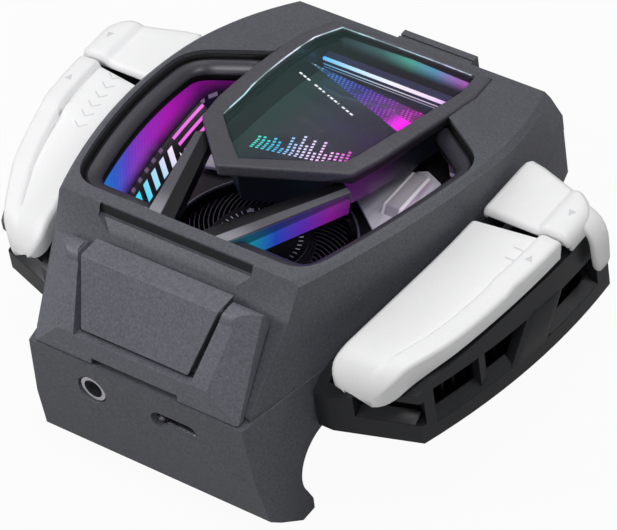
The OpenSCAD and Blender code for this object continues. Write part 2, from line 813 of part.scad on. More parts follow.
// Light guides: curved walls that stand on the deck inside the roof's sides
guide_wall = 1.2;
guide_in = 3.2;
guide_top_in = 4;
guide_steps = 11;
guide_turn_r = 6;
guide_end_l = 2;
// Points of the wall's outer line with the direction that faces out of the housing there
guide_turn_y = opening_wide_y - 1.7;
guide_turn_x = half_w(guide_turn_y) - guide_in - guide_turn_r;
guide_line = concat(
    [for (y = steps(opening_y + 3, guide_turn_y, guide_steps)) [half_w(y) - guide_in, y, 1, 0]],
    [for (a = [20 : 20 : 80])
        [guide_turn_x + guide_turn_r * cos(a), guide_turn_y + guide_turn_r * sin(a), cos(a), sin(a)]],
    [[guide_turn_x - guide_end_l, guide_turn_y + guide_turn_r + 0.2, 0, 1]]
);
module light_guide() {
    loft([for (p = guide_line)
        let (low = seam_h + deck_t, top = roof_h(p[1]) - guide_top_in,
            x = p[0] - p[2] * guide_wall, y = p[1] - p[3] * guide_wall)
        [[p[0], p[1], low], [p[0], p[1], top], [x, y, top], [x, y, low]]]);
}

module left_light_guide() {
    color([0.8, 0.2, 0.9]) place() mirror([1, 0, 0]) light_guide();
}

module right_light_guide() {
    color([0.3, 0.4, 0.9]) place() light_guide();
}

// Circuit board under the blower
board_w = 36;
board_t = 1.2;
module main_board() {
    color([0.1, 0.3, 0.2]) place() translate([-board_w / 2, jaw_l + wall + 1, floor_top])
        cube([board_w, module_y - jaw_l - wall - 4, board_t]);
}

// Motor: base plate, wound stator and a bearing tube that carries the impeller's shaft
motor_r = 8.6;
motor_plate_t = 0.8;
tube_r = 2.2;
stator_r = hub_r - 2.4;
stator_h = 3.6;
motor_low = floor_top + board_t;
impeller_low = motor_low + motor_plate_t + fit_gap * 2;
module fan_motor() {
    color([0.45, 0.3, 0.15]) place() translate([0, fan_y, motor_low]) difference() {
        union() {
            cylinder(r = motor_r, h = motor_plate_t);
            cylinder(r = tube_r, h = motor_plate_t + stator_h + 1);
            translate([0, 0, motor_plate_t]) cylinder(r = stator_r, h = stator_h);
        }
        translate([0, 0, motor_plate_t]) cylinder(r = shaft_r + run_gap, h = big);
    }
}

// One blade, a thin strip that leans back as it runs outwards
blade_lean = 24;
blade_root = 0.4;
blade_in = 0.2;
blade_steps = 4;
module blade() {
    rs = steps(hub_r - blade_root, fan_r - blade_in, blade_steps);
    edge = [for (i = [0 : blade_steps]) let (a = blade_lean * pow(i / blade_steps, 1.4)) [rs[i], a]];
    polygon(concat(
        [for (e = edge) [e[0] * cos(e[1]), e[0] * sin(e[1])]],
        [for (i = [blade_steps : -1 : 0])
            let (e = edge[i], da = blade_t / e[0] * 180 / PI)
            [e[0] * cos(e[1] + da), e[0] * sin(e[1] + da)]]
    ));
}

// Impeller: cup-shaped hub, base ring and blades, on its own shaft
hub_wall = 1.2;
base_ring_t = 0.8;
blade_top = hub_h - 1.4;
module impeller() {
    color([0.1, 0.1, 0.11]) place() translate([0, fan_y, 0]) {
        difference() {
            translate([0, 0, impeller_low]) cylinder(r = hub_r, h = hub_h - impeller_low);
            translate([0, 0, impeller_low - 1])
                cylinder(r = hub_r - hub_wall, h = hub_h - impeller_low - hub_wall + 1);
        }
        difference() {
            translate([0, 0, impeller_low]) cylinder(r = fan_r, h = base_ring_t);
            translate([0, 0, impeller_low - 1]) cylinder(r = hub_r - 0.2, h = 3);
        }
        translate([0, 0, impeller_low + base_ring_t / 2])
            linear_extrude(blade_top - impeller_low - base_ring_t / 2)
            for (i = [0 : blade_count - 1]) rotate(i * 360 / blade_count) blade();
        translate([0, 0, motor_low + motor_plate_t + fit_gap])
            cylinder(r = shaft_r, h = hub_h - motor_low - motor_plate_t - fit_gap - hub_wall / 2);
    }
}

// Printed cap on the hub
cap_t = 0.5;
module hub_cap() {
    color([0.08, 0.08, 0.09]) place() translate([0, fan_y, hub_h]) {
        cylinder(r = hub_r - 0.6, h = cap_t);
    }
}

// Cooler: pad and cold plate under the module, finned heat sink and clips above it
module thermal_pad() {
    color([0.5, 0.5, 0.52]) place()
        translate([-plate_w / 2 + 0.5, plate_y + 0.5, deck_h - pad_t])
            cube([plate_w - 1, plate_l - 1, pad_t]);
}

module cold_plate() {
    color([0.75, 0.75, 0.77]) place()
        translate([-plate_w / 2 + seat_gap, plate_y + seat_gap, deck_h])
            cube([plate_w - seat_gap * 2, plate_l - seat_gap * 2, floor_t]);
}

module cooling_module() {
    color([0.9, 0.9, 0.88]) place() translate([-module_w / 2, module_y, floor_top])
        cube([module_w, module_l, module_t]);
}

sink_low = floor_top + module_t;
sink_base_t = 3.4;
sink_fin_h = 3;
sink_top = sink_low + sink_base_t + sink_fin_h;
pipe_h = sink_low + sink_base_t / 2;
pipe_inset = 2.4;
pipe_ys = [module_y + pipe_inset, module_y + pipe_inset + pipe_r * 2 + 1];
module at_pipes(r, w) {
    for (y = pipe_ys) translate([0, y, pipe_h])
        rotate([0, 90, 0]) cylinder(r = r, h = w, center = true);
}

module heat_sink() {
    count = floor((plate_w - fin_t) / fin_pitch);
    color([0.8, 0.8, 0.82]) place() difference() {
        union() {
            translate([-plate_w / 2, module_y, sink_low]) cube([plate_w, module_l, sink_base_t]);
            for (i = [0 : count])
                translate([-count * fin_pitch / 2 + i * fin_pitch - fin_t / 2, module_y, sink_low])
                    cube([fin_t, module_l, sink_base_t + sink_fin_h]);
        }
        at_pipes(pipe_r + seat_gap, big);
    }
}

// Sprung cover plates that press on the fins, each with a raised tab
clip_t = 0.8;
clip_in = 7;
clip_out = 19.4;
clip_back = 0.6;
tab_in = 14.4;
tab_w = 3.8;
tab_l = 11;
tab_lift = 1.5;
clip_plan = [
    [clip_in, module_y + clip_back], [clip_in + 2, module_y - 1.4], [clip_out - 4, module_y - 6],
    [clip_out, module_y - 6.8], [clip_out, module_y + 8.4], [clip_out - 3.8, module_y + 10],
    [plate_w / 2, module_y + 8.6], [plate_w / 2 - 0.4, module_y + module_l - clip_back],
    [clip_in, module_y + module_l - clip_back]
];
module clip_tab() {
    translate([tab_in, 0, 0]) rotate([90, 0, 90]) linear_extrude(tab_w) polygon([
        [module_y - 2.6, sink_top + 0.3], [module_y - 2.6 + tab_l, sink_top + 0.3],
        [module_y - 3.6 + tab_l, sink_top + clip_t + tab_lift], [module_y - 1.2, sink_top + clip_t + tab_lift]
    ]);
}

module sink_clips() {
    color([0.85, 0.85, 0.87]) place() for (s = [0, 1]) mirror([s, 0, 0]) union() {
        translate([0, 0, sink_top]) linear_extrude(clip_t) polygon(clip_plan);
        clip_tab();
    }
}

pipe_reach = 7;
pipe_l = wing_span - pipe_reach * 2;
module heat_pipes() {
    color([0.72, 0.45, 0.25]) place() at_pipes(pipe_r, pipe_l);
}

// Wings

// Plan of the right wing, drawn in by an inset
wing_root_x = 27.8;
wing_root_y = 13.5;
wing_back_y = 69;
wing_back_in = 5;
wing_steps = 14;
wing_join = 0.1;
module wing_plan(inset) {
    outer = [for (y = steps(wing_front_y + inset, wing_rear_y - inset / 2, wing_steps)) [wing_x(y) - inset, y]];
    inner = [for (y = steps(wing_back_y - inset, jaw_l + wing_join + inset, wing_steps))
        [side_w(y) + wing_join + inset, y]];
    root = side_w(jaw_l) + wing_join + inset;
    front = [[root, wing_root_y + inset], [wing_root_x, wing_root_y + inset]];
    back = [wing_x(wing_rear_y) - wing_back_in - inset, wing_back_y - 1 - inset];
    polygon(concat(front, outer, [back], inner, [[root, jaw_l + wing_join + inset]]));
}

// Posts that hold a key rod, between the keys' own bosses
post_w = 2.4;
post_l = 2;
post_back = 17;
post_over = 0.5;
key_low_h = wing_rim_h + key_float;
key_top_h = key_low_h + key_depth;
rod_h = key_top_h - rod_drop;
post_ys = [key_split_y - post_back, pipe_ys[1] + pipe_r + fit_gap];
post_top = rod_h + rod_r + post_over;

// Cut over the rim: it dips further under the noses of the keys and behind the hooks
rim_nose_y = 19.5;
rim_nose_rate = 0.45;
rim_tail_y = 60;
rim_tail_rate = 0.8;
module above_rim() {
    ys = concat(steps(wing_root_y - 1, rim_flat_y, 12), [rim_tail_y]);
    tail = wing_back_y + 1;
    across(big) polygon(concat(
        [for (y = ys) [y, rim_h(y) - rim_nose_rate * max(0, rim_nose_y - y)]],
        [[tail, wing_rim_h - rim_tail_rate * (tail - rim_tail_y)],
         [tail, wing_rim_h + 5], [wing_root_y - 1, wing_rim_h + 5]]
    ));
}

// Vent openings: one in the front wall and two in the outer wall
slot_h0 = 15.4;
slot_h1 = 20.4;
side_vents = [[21, 41, 14.4, 22], [45, 59.5, 14.4, 21.6]];
rib_y = 30.5;
rib_l = 1.6;
module wing() {
    difference() {
        union() {
            difference() {
                translate([0, 0, deck_h]) linear_extrude(wing_rim_h - deck_h) wing_plan(0);
                translate([0, 0, floor_top]) linear_extrude(big) wing_plan(wing_wall);
                translate([wing_root_x + 4, 0, slot_h0])
                    cube([11, wing_front_y + wing_wall, slot_h1 - slot_h0]);
                for (v = side_vents)
                    translate([wing_span / 2 - 11, v[0], v[2]]) cube([big, v[1] - v[0], v[3] - v[2]]);
                translate([0, vent_y0, vent_h0])
                    cube([wing_root_x + 7, vent_y1 - vent_y0, vent_h1 - vent_h0]);
                above_rim();
            }
            for (y = post_ys) translate([rod_x - post_w / 2, y, floor_top - eps])
                cube([post_w, post_l, post_top - floor_top]);
            translate([wing_x(rib_y) - wing_wall, rib_y, floor_top])
                cube([wing_wall - 0.4, rib_l, rim_h(rib_y) - floor_top - 0.5]);
        }
        translate([rod_x, 0, rod_h]) along(0, body_l) circle(rod_r + seat_gap);
    }
}

module left_wing() {
    color([0.13, 0.13, 0.14]) place() mirror([1, 0, 0]) wing();
}

module right_wing() {
    color([0.13, 0.13, 0.14]) place() wing();
}

// Fin stacks in the wings: thin plates on a foot, with blocks where the pipes enter
fins_x = rod_x + post_w / 2 + 1;
fins_top = floor_top + fins_h;
fins_y0 = 23;
fins_y1 = 60;
foot_t = 1;
fin_edge = 1;
module fin_stack() {
    count = floor((fins_y1 - fins_y0) / fin_pitch);
    difference() {
        union() {
            for (i = [0 : count]) let (y = fins_y0 + i * fin_pitch)
                translate([fins_x, y, floor_top])
                    cube([wing_x(y) - wing_wall - fin_edge - fins_x, fin_t, fins_top - floor_top]);
            translate([fins_x, fins_y0, floor_top])
                cube([wing_x(fins_y0) - wing_wall - fin_edge - fins_x, fins_y1 - fins_y0, foot_t]);
            translate([fins_x, pipe_ys[0] - pipe_r - 1, floor_top])
                cube([pipe_l / 2 - fins_x + 1, pipe_ys[1] - pipe_ys[0] + pipe_r * 2 + 2, fins_top - floor_top]);
        }
        at_pipes(pipe_r + seat_gap, pipe_l + seat_gap * 2);
    }
}

module left_fins() {
    color([0.75, 0.75, 0.77]) place() mirror([1, 0, 0]) fin_stack();
}

module right_fins() {
    color([0.75, 0.75, 0.77]) place() fin_stack();
}

// Switch boards lie on the fin stacks and carry the keys' switches
switch_board_t = 1;
switch_board_x = rod_x + post_w / 2 + 0.8;
module switch_board() {
    translate([0, 0, fins_top]) linear_extrude(switch_board_t) intersection() {
        wing_plan(wing_wall + fit_gap);
        translate([switch_board_x, 0]) square(big);
    }
}

module left_switch_board() {
    color([0.1, 0.25, 0.18]) place() mirror([1, 0, 0]) switch_board();
}

module right_switch_board() {
    color([0.1, 0.25, 0.18]) place() switch_board();
}

// Two tact switches a side: a square case with a round plunger just below the key
switch_w = 3.6;
switch_t = 0.9;
switch_x = 42.5;
switch_ys = [key_split_y - 12, key_split_y + 6];
press_gap = 0.6;
module switches() {
    low = fins_top + switch_board_t;
    for (y = switch_ys) translate([switch_x, y, low]) {
        translate([-switch_w / 2, -switch_w / 2, 0]) cube([switch_w, switch_w, switch_t]);
        cylinder(r = switch_w / 4, h = key_top_h - key_wall - press_gap - low);
    }
}

module left_switches() {
    color([0.2, 0.2, 0.22]) place() mirror([1, 0, 0]) switches();
}

module right_switches() {
    color([0.2, 0.2, 0.22]) place() switches();
}

// Rods on which the keys turn, as long as the keys' bosses need
key_boss_l = 2.6;
key_boss_ys = [key_split_y - 29, key_split_y - 6];
key_rod_y0 = key_boss_ys[0] - fit_gap;
key_rod_y1 = post_ys[1] + post_l + fit_gap + key_boss_l;
module key_rod() {
    translate([rod_x, 0, rod_h]) along(key_rod_y0, key_rod_y1) circle(rod_r);
}

module left_key_rod() {
    color("silver") place() mirror([1, 0, 0]) key_rod();
}

module right_key_rod() {
    color("silver") place() key_rod();
}

// Keys

// Plan edges of the keys: both bow outwards towards the rear
key_front_y = 12.4;
key_in_rear = 33.5;
key_in_bow = 0.0028;
key_out_rear = 48.5;
key_out_bow = 0.0065;
function key_in(y) = key_in_rear - key_in_bow * pow(max(0, key_split_y - 1.6 - y), 2);
function key_out(y) = key_out_rear - key_out_bow * pow(max(0, key_split_y - y), 2);

// The front end is cut aslant, and that slant fades out along the key
key_lead = 0.31;
key_lead_l = 14;
function key_y(s, x) = s + key_lead * max(0, x - key_in(key_front_y))
    * max(0, 1 - (s - key_front_y) / key_lead_l);

// Heights of the top face: inner edge, raised strip and outer edge, all dropping at the nose
nose_drop = 4.4;
nose_l = 2;
strip_step_y = key_split_y - 13.6;
strip_step_l = 1.2;
function nose_fall(s) = nose_drop * exp(-(s - key_front_y) / nose_l);
function top_in(s) = key_top_h - 0.0042 * pow(max(0, 35 - s), 2) - nose_fall(s);
function strip_share(s) = min(1, max(0, (s - strip_step_y) / strip_step_l));
function top_strip(s) = key_top_h + strip_t - (1 - strip_share(s)) * (0.6 + 0.14 * max(0, strip_step_y - s))
    - nose_fall(s);
function top_out(s) = key_top_h + strip_t - 0.8 - (1 - strip_share(s)) * (1.1 + 0.145 * max(0, strip_step_y - s))
    - nose_fall(s) * 0.9;
function key_low(s) = rim_h(s) + key_float - 1.6 * exp(-(s - key_front_y) / nose_l);
function strip_step(s) = strip_t * min(1, max(0, (s - 19) / 19));

// Cross-section of the long key, drawn in by an inset for the hollow below
strip_w = 2.6;
strip_fillet = 1.4;
corner_in = 1.6;
corner_out = 2.2;
function key_ring(s, inset) =
    let (
        back = s - key_front_y,
        xi = key_in(s) + corner_in * pow(max(0, 1 - back / corner_in), 2) + inset,
        xo = key_out(s) - corner_out * pow(max(0, 1 - back / corner_out), 2) - inset,
        xc = min(key_out(s) - strip_w, xo - 0.6),
        low = inset > 0 ? key_low(s) - 6 : key_low(s),
        top = max(top_out(s), key_low(s) + 0.3) - inset
    )
    [for (p = [
        [xo, low], [xo, top], [xc, top_strip(s) - inset],
        [xc - strip_fillet, top_strip(s) - strip_step(s) - inset],
        [xi + 1.2, top_in(s) - inset], [xi, top_in(s) - 0.5 - inset], [xi, low]
    ]) [p[0], key_y(s, p[0]), p[1]]];

// Bore through a key's bosses for the rod
module key_bore() {
    translate([rod_x, 0, rod_h])
        along(key_rod_y0 - fit_gap, key_rod_y1 + fit_gap) circle(rod_r + run_gap);
}

// Boss on a key that turns on the rod
boss_w = 3;
boss_low = 1.5;
module key_boss(y) {
    translate([rod_x - boss_w / 2, y, rod_h - boss_low])
        cube([boss_w, key_boss_l, top_strip(y) - strip_step(y) - key_wall / 2 - rod_h + boss_low]);
}

long_key_ss = [0, 0.5, 1.3, 2.6, 4.1, 6.1, 9.1, 13.1, 17.1, 21.1];
module long_key() {
    y1 = key_split_y - key_gap / 2;
    ss = concat([for (s = long_key_ss) key_front_y + s],
        [strip_step_y, strip_step_y + strip_step_l, strip_step_y + 5, strip_step_y + 9]);
    difference() {
        union() {
            difference() {
                loft([for (s = concat(ss, [y1])) key_ring(s, 0)]);
                loft([for (s = concat([for (s = ss) if (s > key_front_y + 1) s + key_wall * 0.6], [y1 - key_wall]))
                    key_ring(s, key_wall)]);
            }
            for (y = key_boss_ys) key_boss(y);
        }
        key_bore();
    }
}

module left_long_key() {
    color([0.95, 0.95, 0.95]) place() mirror([1, 0, 0]) long_key();
}

module right_long_key() {
    color([0.95, 0.95, 0.95]) place() long_key();
}

// Short key with a hook that curls down over the wing's rear corner
short_rear_in = 65.4;
short_rear_out = 62.6;
hook_t = 1.7;
hook_y = 56.5;
hook_l = 4.2;
hook_low_h = 20;
wing_out = wing_span / 2;
hook_x = wing_out + hook_out;
module short_key_plan(inset) {
    y0 = key_split_y + key_gap / 2 + inset;
    polygon([
        [key_in(y0) + inset, y0], [key_out_rear + 0.3 - inset, y0], [wing_out - inset, hook_y + 0.8],
        [wing_out - 0.7 - inset, hook_y + 2.9], [wing_out - 2.4 - inset, hook_y + 4.9 - inset / 2],
        [wing_out - 5.8, short_rear_out - inset], [key_in(y0) + 1.4 + inset, short_rear_in - inset],
        [key_in(y0) + inset, short_rear_in - 1.2 - inset]
    ]);
}

module short_key() {
    y0 = key_split_y + key_gap / 2;
    strip_x = key_out_rear - strip_w - 0.3;
    difference() {
        union() {
            difference() {
                translate([0, 0, key_low_h]) linear_extrude(key_depth) short_key_plan(0);
                translate([0, 0, key_low_h - eps]) linear_extrude(key_depth - key_wall + eps)
                    short_key_plan(key_wall);
            }
            for (y = [key_split_y + 2.6, post_ys[1] + post_l + fit_gap]) key_boss(y);
            translate([0, 0, key_top_h - eps]) linear_extrude(strip_t) polygon([
                [strip_x, y0], [key_out_rear, y0], [wing_out - 0.3, hook_y + 0.8],
                [wing_out - 1, hook_y + 2.8], [wing_out - 2.6, hook_y + 4.6],
                [wing_out - 5.4, short_rear_out - 0.6], [wing_out - 5.6, hook_y + 3]
            ]);
            along(hook_y, hook_y + hook_l) polygon([
                [wing_out - 2.4, key_top_h - 0.4], [wing_out - 2.4, key_top_h + strip_t - 0.1],
                [wing_out - 0.6, key_top_h + strip_t - 0.5], [hook_x - 1.2, key_top_h - 1.4],
                [hook_x - 0.2, key_top_h - 4], [hook_x, key_top_h - 6.5], [hook_x, hook_low_h + 1],
                [hook_x - 0.5, hook_low_h], [hook_x - hook_t, hook_low_h],
                [hook_x - hook_t, key_top_h - 6], [wing_out + 0.4, key_top_h - 3.6],
                [wing_out - 0.6, key_top_h - 1.8]
            ]);
        }
        key_bore();
    }
}

module left_short_key() {
    color([0.95, 0.95, 0.95]) place() mirror([1, 0, 0]) short_key();
}

module right_short_key() {
    color([0.95, 0.95, 0.95]) place() short_key();
}

// Rear clamp

// Side profile of the clamp: the front jaw's lip and notch turned round, with a top plate
clamp_front_y = body_l + fit_gap;
clamp_top_w = 26;
ridge_w = 15.2;
ridge_t = 2.2;
ridge_groove = 0.4;
module clamp_profile() {
    tip_y = rear_notch_y - lip_reach;
    notch_c = rear_notch_y - notch_r;
    difference() {
        polygon([
            [rear_y - 1, 0], [tip_y + lip_flat, -lip_drop], [tip_y, -lip_drop],
            [tip_y, -lip_drop + lip_tip_t], [rear_notch_y - notch_r / 8, notch_h - notch_r * 0.48],
            [notch_c, notch_h], [notch_c, deck_h - fit_gap], [clamp_front_y, deck_h - fit_gap],
            [clamp_front_y, clamp_h], [rear_y - 1.2, clamp_h], [rear_y, clamp_h - 1.2], [rear_y, fold_h]
        ]);
        translate([notch_c, notch_h]) circle(notch_r);
    }
}

rod_seat = 5;
module rear_clamp() {
    color([0.27, 0.27, 0.3]) place() difference() {
        union() {
            across(clamp_w) clamp_profile();
            translate([-ridge_w / 2, clamp_front_y + 1, clamp_h - 1])
                cube([ridge_w, rear_y - clamp_front_y - 1.6, ridge_t + 1]);
        }
        for (i = [1 : 2]) translate([0, clamp_front_y + 1 + i * 1.5, clamp_h + ridge_t])
            cube([ridge_w * 2, ridge_groove, ridge_groove * 2], center = true);
        for (s = [-1, 1]) {
            translate([s * guide_x, 0, guide_h])
                along(clamp_front_y - 1, clamp_front_y + rod_seat) circle(guide_r + seat_gap);
            translate([s * (clamp_top_w / 2 + big / 2), 0, clamp_h])
                cube([big, big * 2, (clamp_h - guide_h - guide_r) * 0.6], center = true);
        }
    }
}

module clamp_pad() {
    color([0.12, 0.12, 0.13]) place()
        translate([0, rear_notch_y - notch_r, notch_h]) mirror([0, 1, 0])
            notch_rubber(strip_in - clamp_w / 2, clamp_w / 2 - strip_in);
}

// Guide rods, fixed in the clamp, with collars that the springs push on
collar_r = 2.5;
collar_l = 1.4;
module clamp_rods() {
    color("silver") place() for (s = [-1, 1]) translate([s * guide_x, 0, guide_h]) {
        along(guide_y, clamp_front_y + rod_seat - seat_gap) circle(guide_r);
        along(guide_y, guide_y + collar_l) circle(collar_r);
    }
}

// Return springs between the collars and the guides
block_l = 4.2;
block_y = body_l - wall - block_l;
spring_r = 2.3;
module clamp_springs() {
    color("lightgray") place() for (s = [-1, 1]) translate([s * guide_x, 0, guide_h])
        along(guide_y + collar_l, block_y - seat_gap) difference() {
            circle(spring_r);
            circle(guide_r + fit_gap / 2);
        }
}

// Guide blocks on the floor against the rear wall
block_w = 7;
module clamp_guides() {
    color([0.2, 0.2, 0.22]) place() for (s = [-1, 1]) difference() {
        translate([s * guide_x - block_w / 2, block_y, floor_top])
            cube([block_w, block_l, guide_h + guide_r + 1.4 - floor_top]);
        translate([s * guide_x, 0, guide_h]) along(0, body_l) circle(guide_r + run_gap);
    }
}

front_jaw();
jaw_pad();
power_socket();
audio_socket();
phone_plug();
lower_shell();
upper_shell();
stand_cover();
stand_pins();
kickstand();
visor_bezel();
visor_lens();
display_tray();
display_panel();
light_bar();
left_strut();
right_strut();
inner_deck();
left_light_guide();
right_light_guide();
main_board();
fan_motor();
impeller();
hub_cap();
thermal_pad();
cold_plate();
cooling_module();
heat_sink();
sink_clips();
heat_pipes();
left_fins();
right_fins();
left_wing();
right_wing();
left_switch_board();
right_switch_board();
left_switches();
right_switches();
left_key_rod();
right_key_rod();
left_long_key();
left_short_key();
right_long_key();
right_short_key();
rear_clamp();
clamp_pad();
clamp_rods();
clamp_springs();
clamp_guides();
case_screws();
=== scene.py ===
import math

import bmesh
import bpy
from mathutils import Matrix, Vector


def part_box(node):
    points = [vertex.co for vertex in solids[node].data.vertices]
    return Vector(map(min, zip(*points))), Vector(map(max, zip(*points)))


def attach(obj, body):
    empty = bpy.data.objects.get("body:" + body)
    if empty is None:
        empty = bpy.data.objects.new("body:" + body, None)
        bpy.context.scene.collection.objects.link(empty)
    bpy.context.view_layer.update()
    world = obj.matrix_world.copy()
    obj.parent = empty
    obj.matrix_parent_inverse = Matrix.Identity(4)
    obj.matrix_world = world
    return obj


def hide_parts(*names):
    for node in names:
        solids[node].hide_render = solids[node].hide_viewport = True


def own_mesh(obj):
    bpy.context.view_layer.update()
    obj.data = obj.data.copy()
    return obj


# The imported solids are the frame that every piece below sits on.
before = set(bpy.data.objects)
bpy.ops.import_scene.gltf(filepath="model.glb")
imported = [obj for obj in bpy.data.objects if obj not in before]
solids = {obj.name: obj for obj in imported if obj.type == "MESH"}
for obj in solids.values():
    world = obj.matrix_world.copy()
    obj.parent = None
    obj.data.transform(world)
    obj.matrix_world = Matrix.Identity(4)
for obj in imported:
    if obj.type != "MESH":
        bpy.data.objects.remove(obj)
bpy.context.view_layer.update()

# Camera of the product photograph: a long lens, above and to the right of the front.
# Turn, height and tilt were worked out from matched corners on both sides of the object.
photo_w = 617
focal_in_pixels = 4000
camera_turn = math.radians(42.01)
camera_height = math.radians(43.628)
camera_tilt = math.radians(-9.6)
camera_place = Vector((0.327009, -0.361844, 0.480555))
camera_data = bpy.data.cameras.new("studio_camera")
camera_data.sensor_width = 36
camera_data.lens = focal_in_pixels / photo_w * camera_data.sensor_width
camera_data.clip_start = 0.05
camera_data.clip_end = 20
camera = bpy.data.objects.new("studio_camera", camera_data)
bpy.context.scene.collection.objects.link(camera)
sight = Vector((
    -math.sin(camera_turn) * math.cos(camera_height),
    math.cos(camera_turn) * math.cos(camera_height),
    -math.sin(camera_height),
))
level_right = Vector((math.cos(camera_turn), math.sin(camera_turn), 0))
level_up = level_right.cross(sight)
right = math.cos(camera_tilt) * level_right + math.sin(camera_tilt) * level_up
up = math.cos(camera_tilt) * level_up - math.sin(camera_tilt) * level_right
pose = Matrix((right, up, -sight)).transposed().to_4x4()
pose.translation = camera_place
camera.matrix_world = pose
bpy.context.scene.camera = camera
bpy.context.scene.view_settings.view_transform = "Standard"


# White paper under the object, lit by five soft boxes, as in a studio. The camera sees a white
# sky and paper, reflections see a faint sky, and all else gets a little grey light from it.
# The class wraps one socket: sums on it add Math nodes, and add() makes any other node.
class Shade:
    def __init__(self, tree, socket=None):
        self.tree = tree
        self.socket = socket

    def add(self, kind, settings=None, inputs=None, output=0):
        made = self.tree.nodes.new("ShaderNode" + kind)
        for name, value in (settings or {}).items():
            if name == "stops":
                ramp = made.color_ramp
                while len(ramp.elements) < len(value):
                    ramp.elements.new(1)
                for element, (position, colour) in zip(ramp.elements, value):
                    element.position = position
                    element.color = colour
            else:
                setattr(made, name, value)
        for name, value in (inputs or {}).items():
            if isinstance(value, Shade):
                self.tree.links.new(value.socket, made.inputs[name])
            else:
                made.inputs[name].default_value = value
        return Shade(self.tree, made.outputs[output] if made.outputs else None)

    def sum(self, operation, first, second=0.0):
        return self.add("Math", {"operation": operation}, {0: first, 1: second})

    def __add__(self, other):
        return self.sum("ADD", self, other)

    def __radd__(self, other):
        return self.sum("ADD", other, self)

    def __sub__(self, other):
        return self.sum("SUBTRACT", self, other)

    def __rsub__(self, other):
        return self.sum("SUBTRACT", other, self)

    def __mul__(self, other):
        return self.sum("MULTIPLY", self, other)

    def __rmul__(self, other):
        return self.sum("MULTIPLY", other, self)

    def __truediv__(self, other):
        return self.sum("DIVIDE", self, other)

    def __rtruediv__(self, other):
        return self.sum("DIVIDE", other, self)

    def __mod__(self, other):
        return self.sum("FLOORED_MODULO", self, other)

    def __gt__(self, other):
        return self.sum("GREATER_THAN", self, other)

    def __lt__(self, other):
        return self.sum("LESS_THAN", self, other)

    def __abs__(self):
        return self.sum("ABSOLUTE", self)


def either(first, second):
    return first.sum("MAXIMUM", first, second)


def finish_of(name):
    made = bpy.data.materials.new(name)
    made.use_nodes = True
    made.node_tree.nodes.clear()
    return made, Shade(made.node_tree)


def linear(red, green, blue):
    parts = [c / 255 for c in (red, green, blue)]
    parts = [c / 12.92 if c <= 0.04045 else ((c + 0.055) / 1.055) ** 2.4 for c in parts]
    return (*parts, 1)


white = (1, 1, 1, 1)
world = bpy.data.worlds.new("studio_sky")
bpy.context.scene.world = world
world.use_nodes = True
world.node_tree.nodes.clear()
sky = Shade(world.node_tree)
seen = sky.add("LightPath", output="Is Camera Ray")
mirrored = sky.add("LightPath", output="Is Glossy Ray")
through = sky.add("LightPath", output="Is Transmission Ray")
plain_sky = sky.add("Background", {}, {"Color": white, "Strength": 0.07})
white_sky = sky.add("Background", {}, {"Color": white, "Strength": 1.0})
shown = either(seen, either(mirrored * 0.16, through))
mixed_sky = sky.add("MixShader", {}, {0: shown, 1: plain_sky, 2: white_sky})
sky.add("OutputWorld", {}, {"Surface": mixed_sky})

floor_half = 4
floor_corners = [(x * floor_half, y * floor_half, 0) for x, y in ((-1, -1), (1, -1), (1, 1), (-1, 1))]
floor_mesh = bpy.data.meshes.new("floor")
floor_mesh.from_pydata(floor_corners, [], [(0, 1, 2, 3)])
floor = bpy.data.objects.new("floor", floor_mesh)
bpy.context.scene.collection.objects.link(floor)
floor_paint, floor_shade = finish_of("floor_paper")
floor_glow = floor_shade.add("Emission", {}, {"Color": white, "Strength": 1.0})
floor_flat = floor_shade.add("BsdfDiffuse", {}, {"Color": (0.45, 0.45, 0.45, 1)})
floor_seen = floor_shade.add("LightPath", output="Is Camera Ray")
floor_both = floor_shade.add("MixShader", {}, {0: floor_seen * 0.95, 1: floor_flat, 2: floor_glow})
floor_shade.add("OutputMaterial", {}, {"Surface": floor_both})
floor_mesh.materials.append(floor_paint)

lamp_aim = Vector((0, 0, 0.02))
for box_name, place, size, power in (
    ("left_front_box", (-0.27, -0.22, 0.28), 0.20, 0.9),
    ("rear_box", (-0.10, 0.45, 0.65), 0.45, 1.2),
    ("top_box", (0.18, -0.18, 0.78), 0.30, 2.7),
    ("right_rear_box", (0.42, 0.34, 0.55), 0.20, 1.1),
    ("front_box", (0.34, -0.52, 0.46), 0.30, 0.7),
):
    lamp = bpy.data.lights.new(box_name, "AREA")
    lamp.shape = "SQUARE"
    lamp.size = size
    lamp.energy = power
    lamp_object = bpy.data.objects.new(box_name, lamp)
    bpy.context.scene.collection.objects.link(lamp_object)
    lamp_object.location = place
    lamp_object.rotation_euler = (lamp_aim - Vector(place)).to_track_quat("-Z", "Y").to_euler()


# Fixed front jaw: one moulding in charcoal plastic with a spark-eroded grain, whose lip and
# notch take the phone's edge. It is screwed to the lower shell from inside.
def soften(piece, width, angle=32, segments=3):
    weld = piece.modifiers.new("join", "WELD")
    weld.merge_threshold = 0.000004
    flat = piece.modifiers.new("flats", "DECIMATE")
    flat.decimate_type = "DISSOLVE"
    flat.angle_limit = math.radians(0.4)
    soft = piece.modifiers.new("edge", "BEVEL")
    soft.width = width / 1000
    soft.segments = segments
    soft.limit_method = "ANGLE"
    soft.angle_limit = math.radians(angle)
    even = piece.modifiers.new("even", "WEIGHTED_NORMAL")
    even.weight = 60
    even.keep_sharp = False


def mould(node, width, angle=32, segments=3):
    soften(solids[node], width, angle, segments)


def dress(paint, *nodes):
    for node in nodes:
        materials = solids[node].data.materials
        materials.clear()
        materials.append(paint)


def toned(colour, share):
    return tuple(min(1, c * share) for c in colour[:3]) + (1,)


def blended(share, first, second):
    return share.add("Mix", {"data_type": "RGBA"}, {0: share, 6: first, 7: second}, 2)


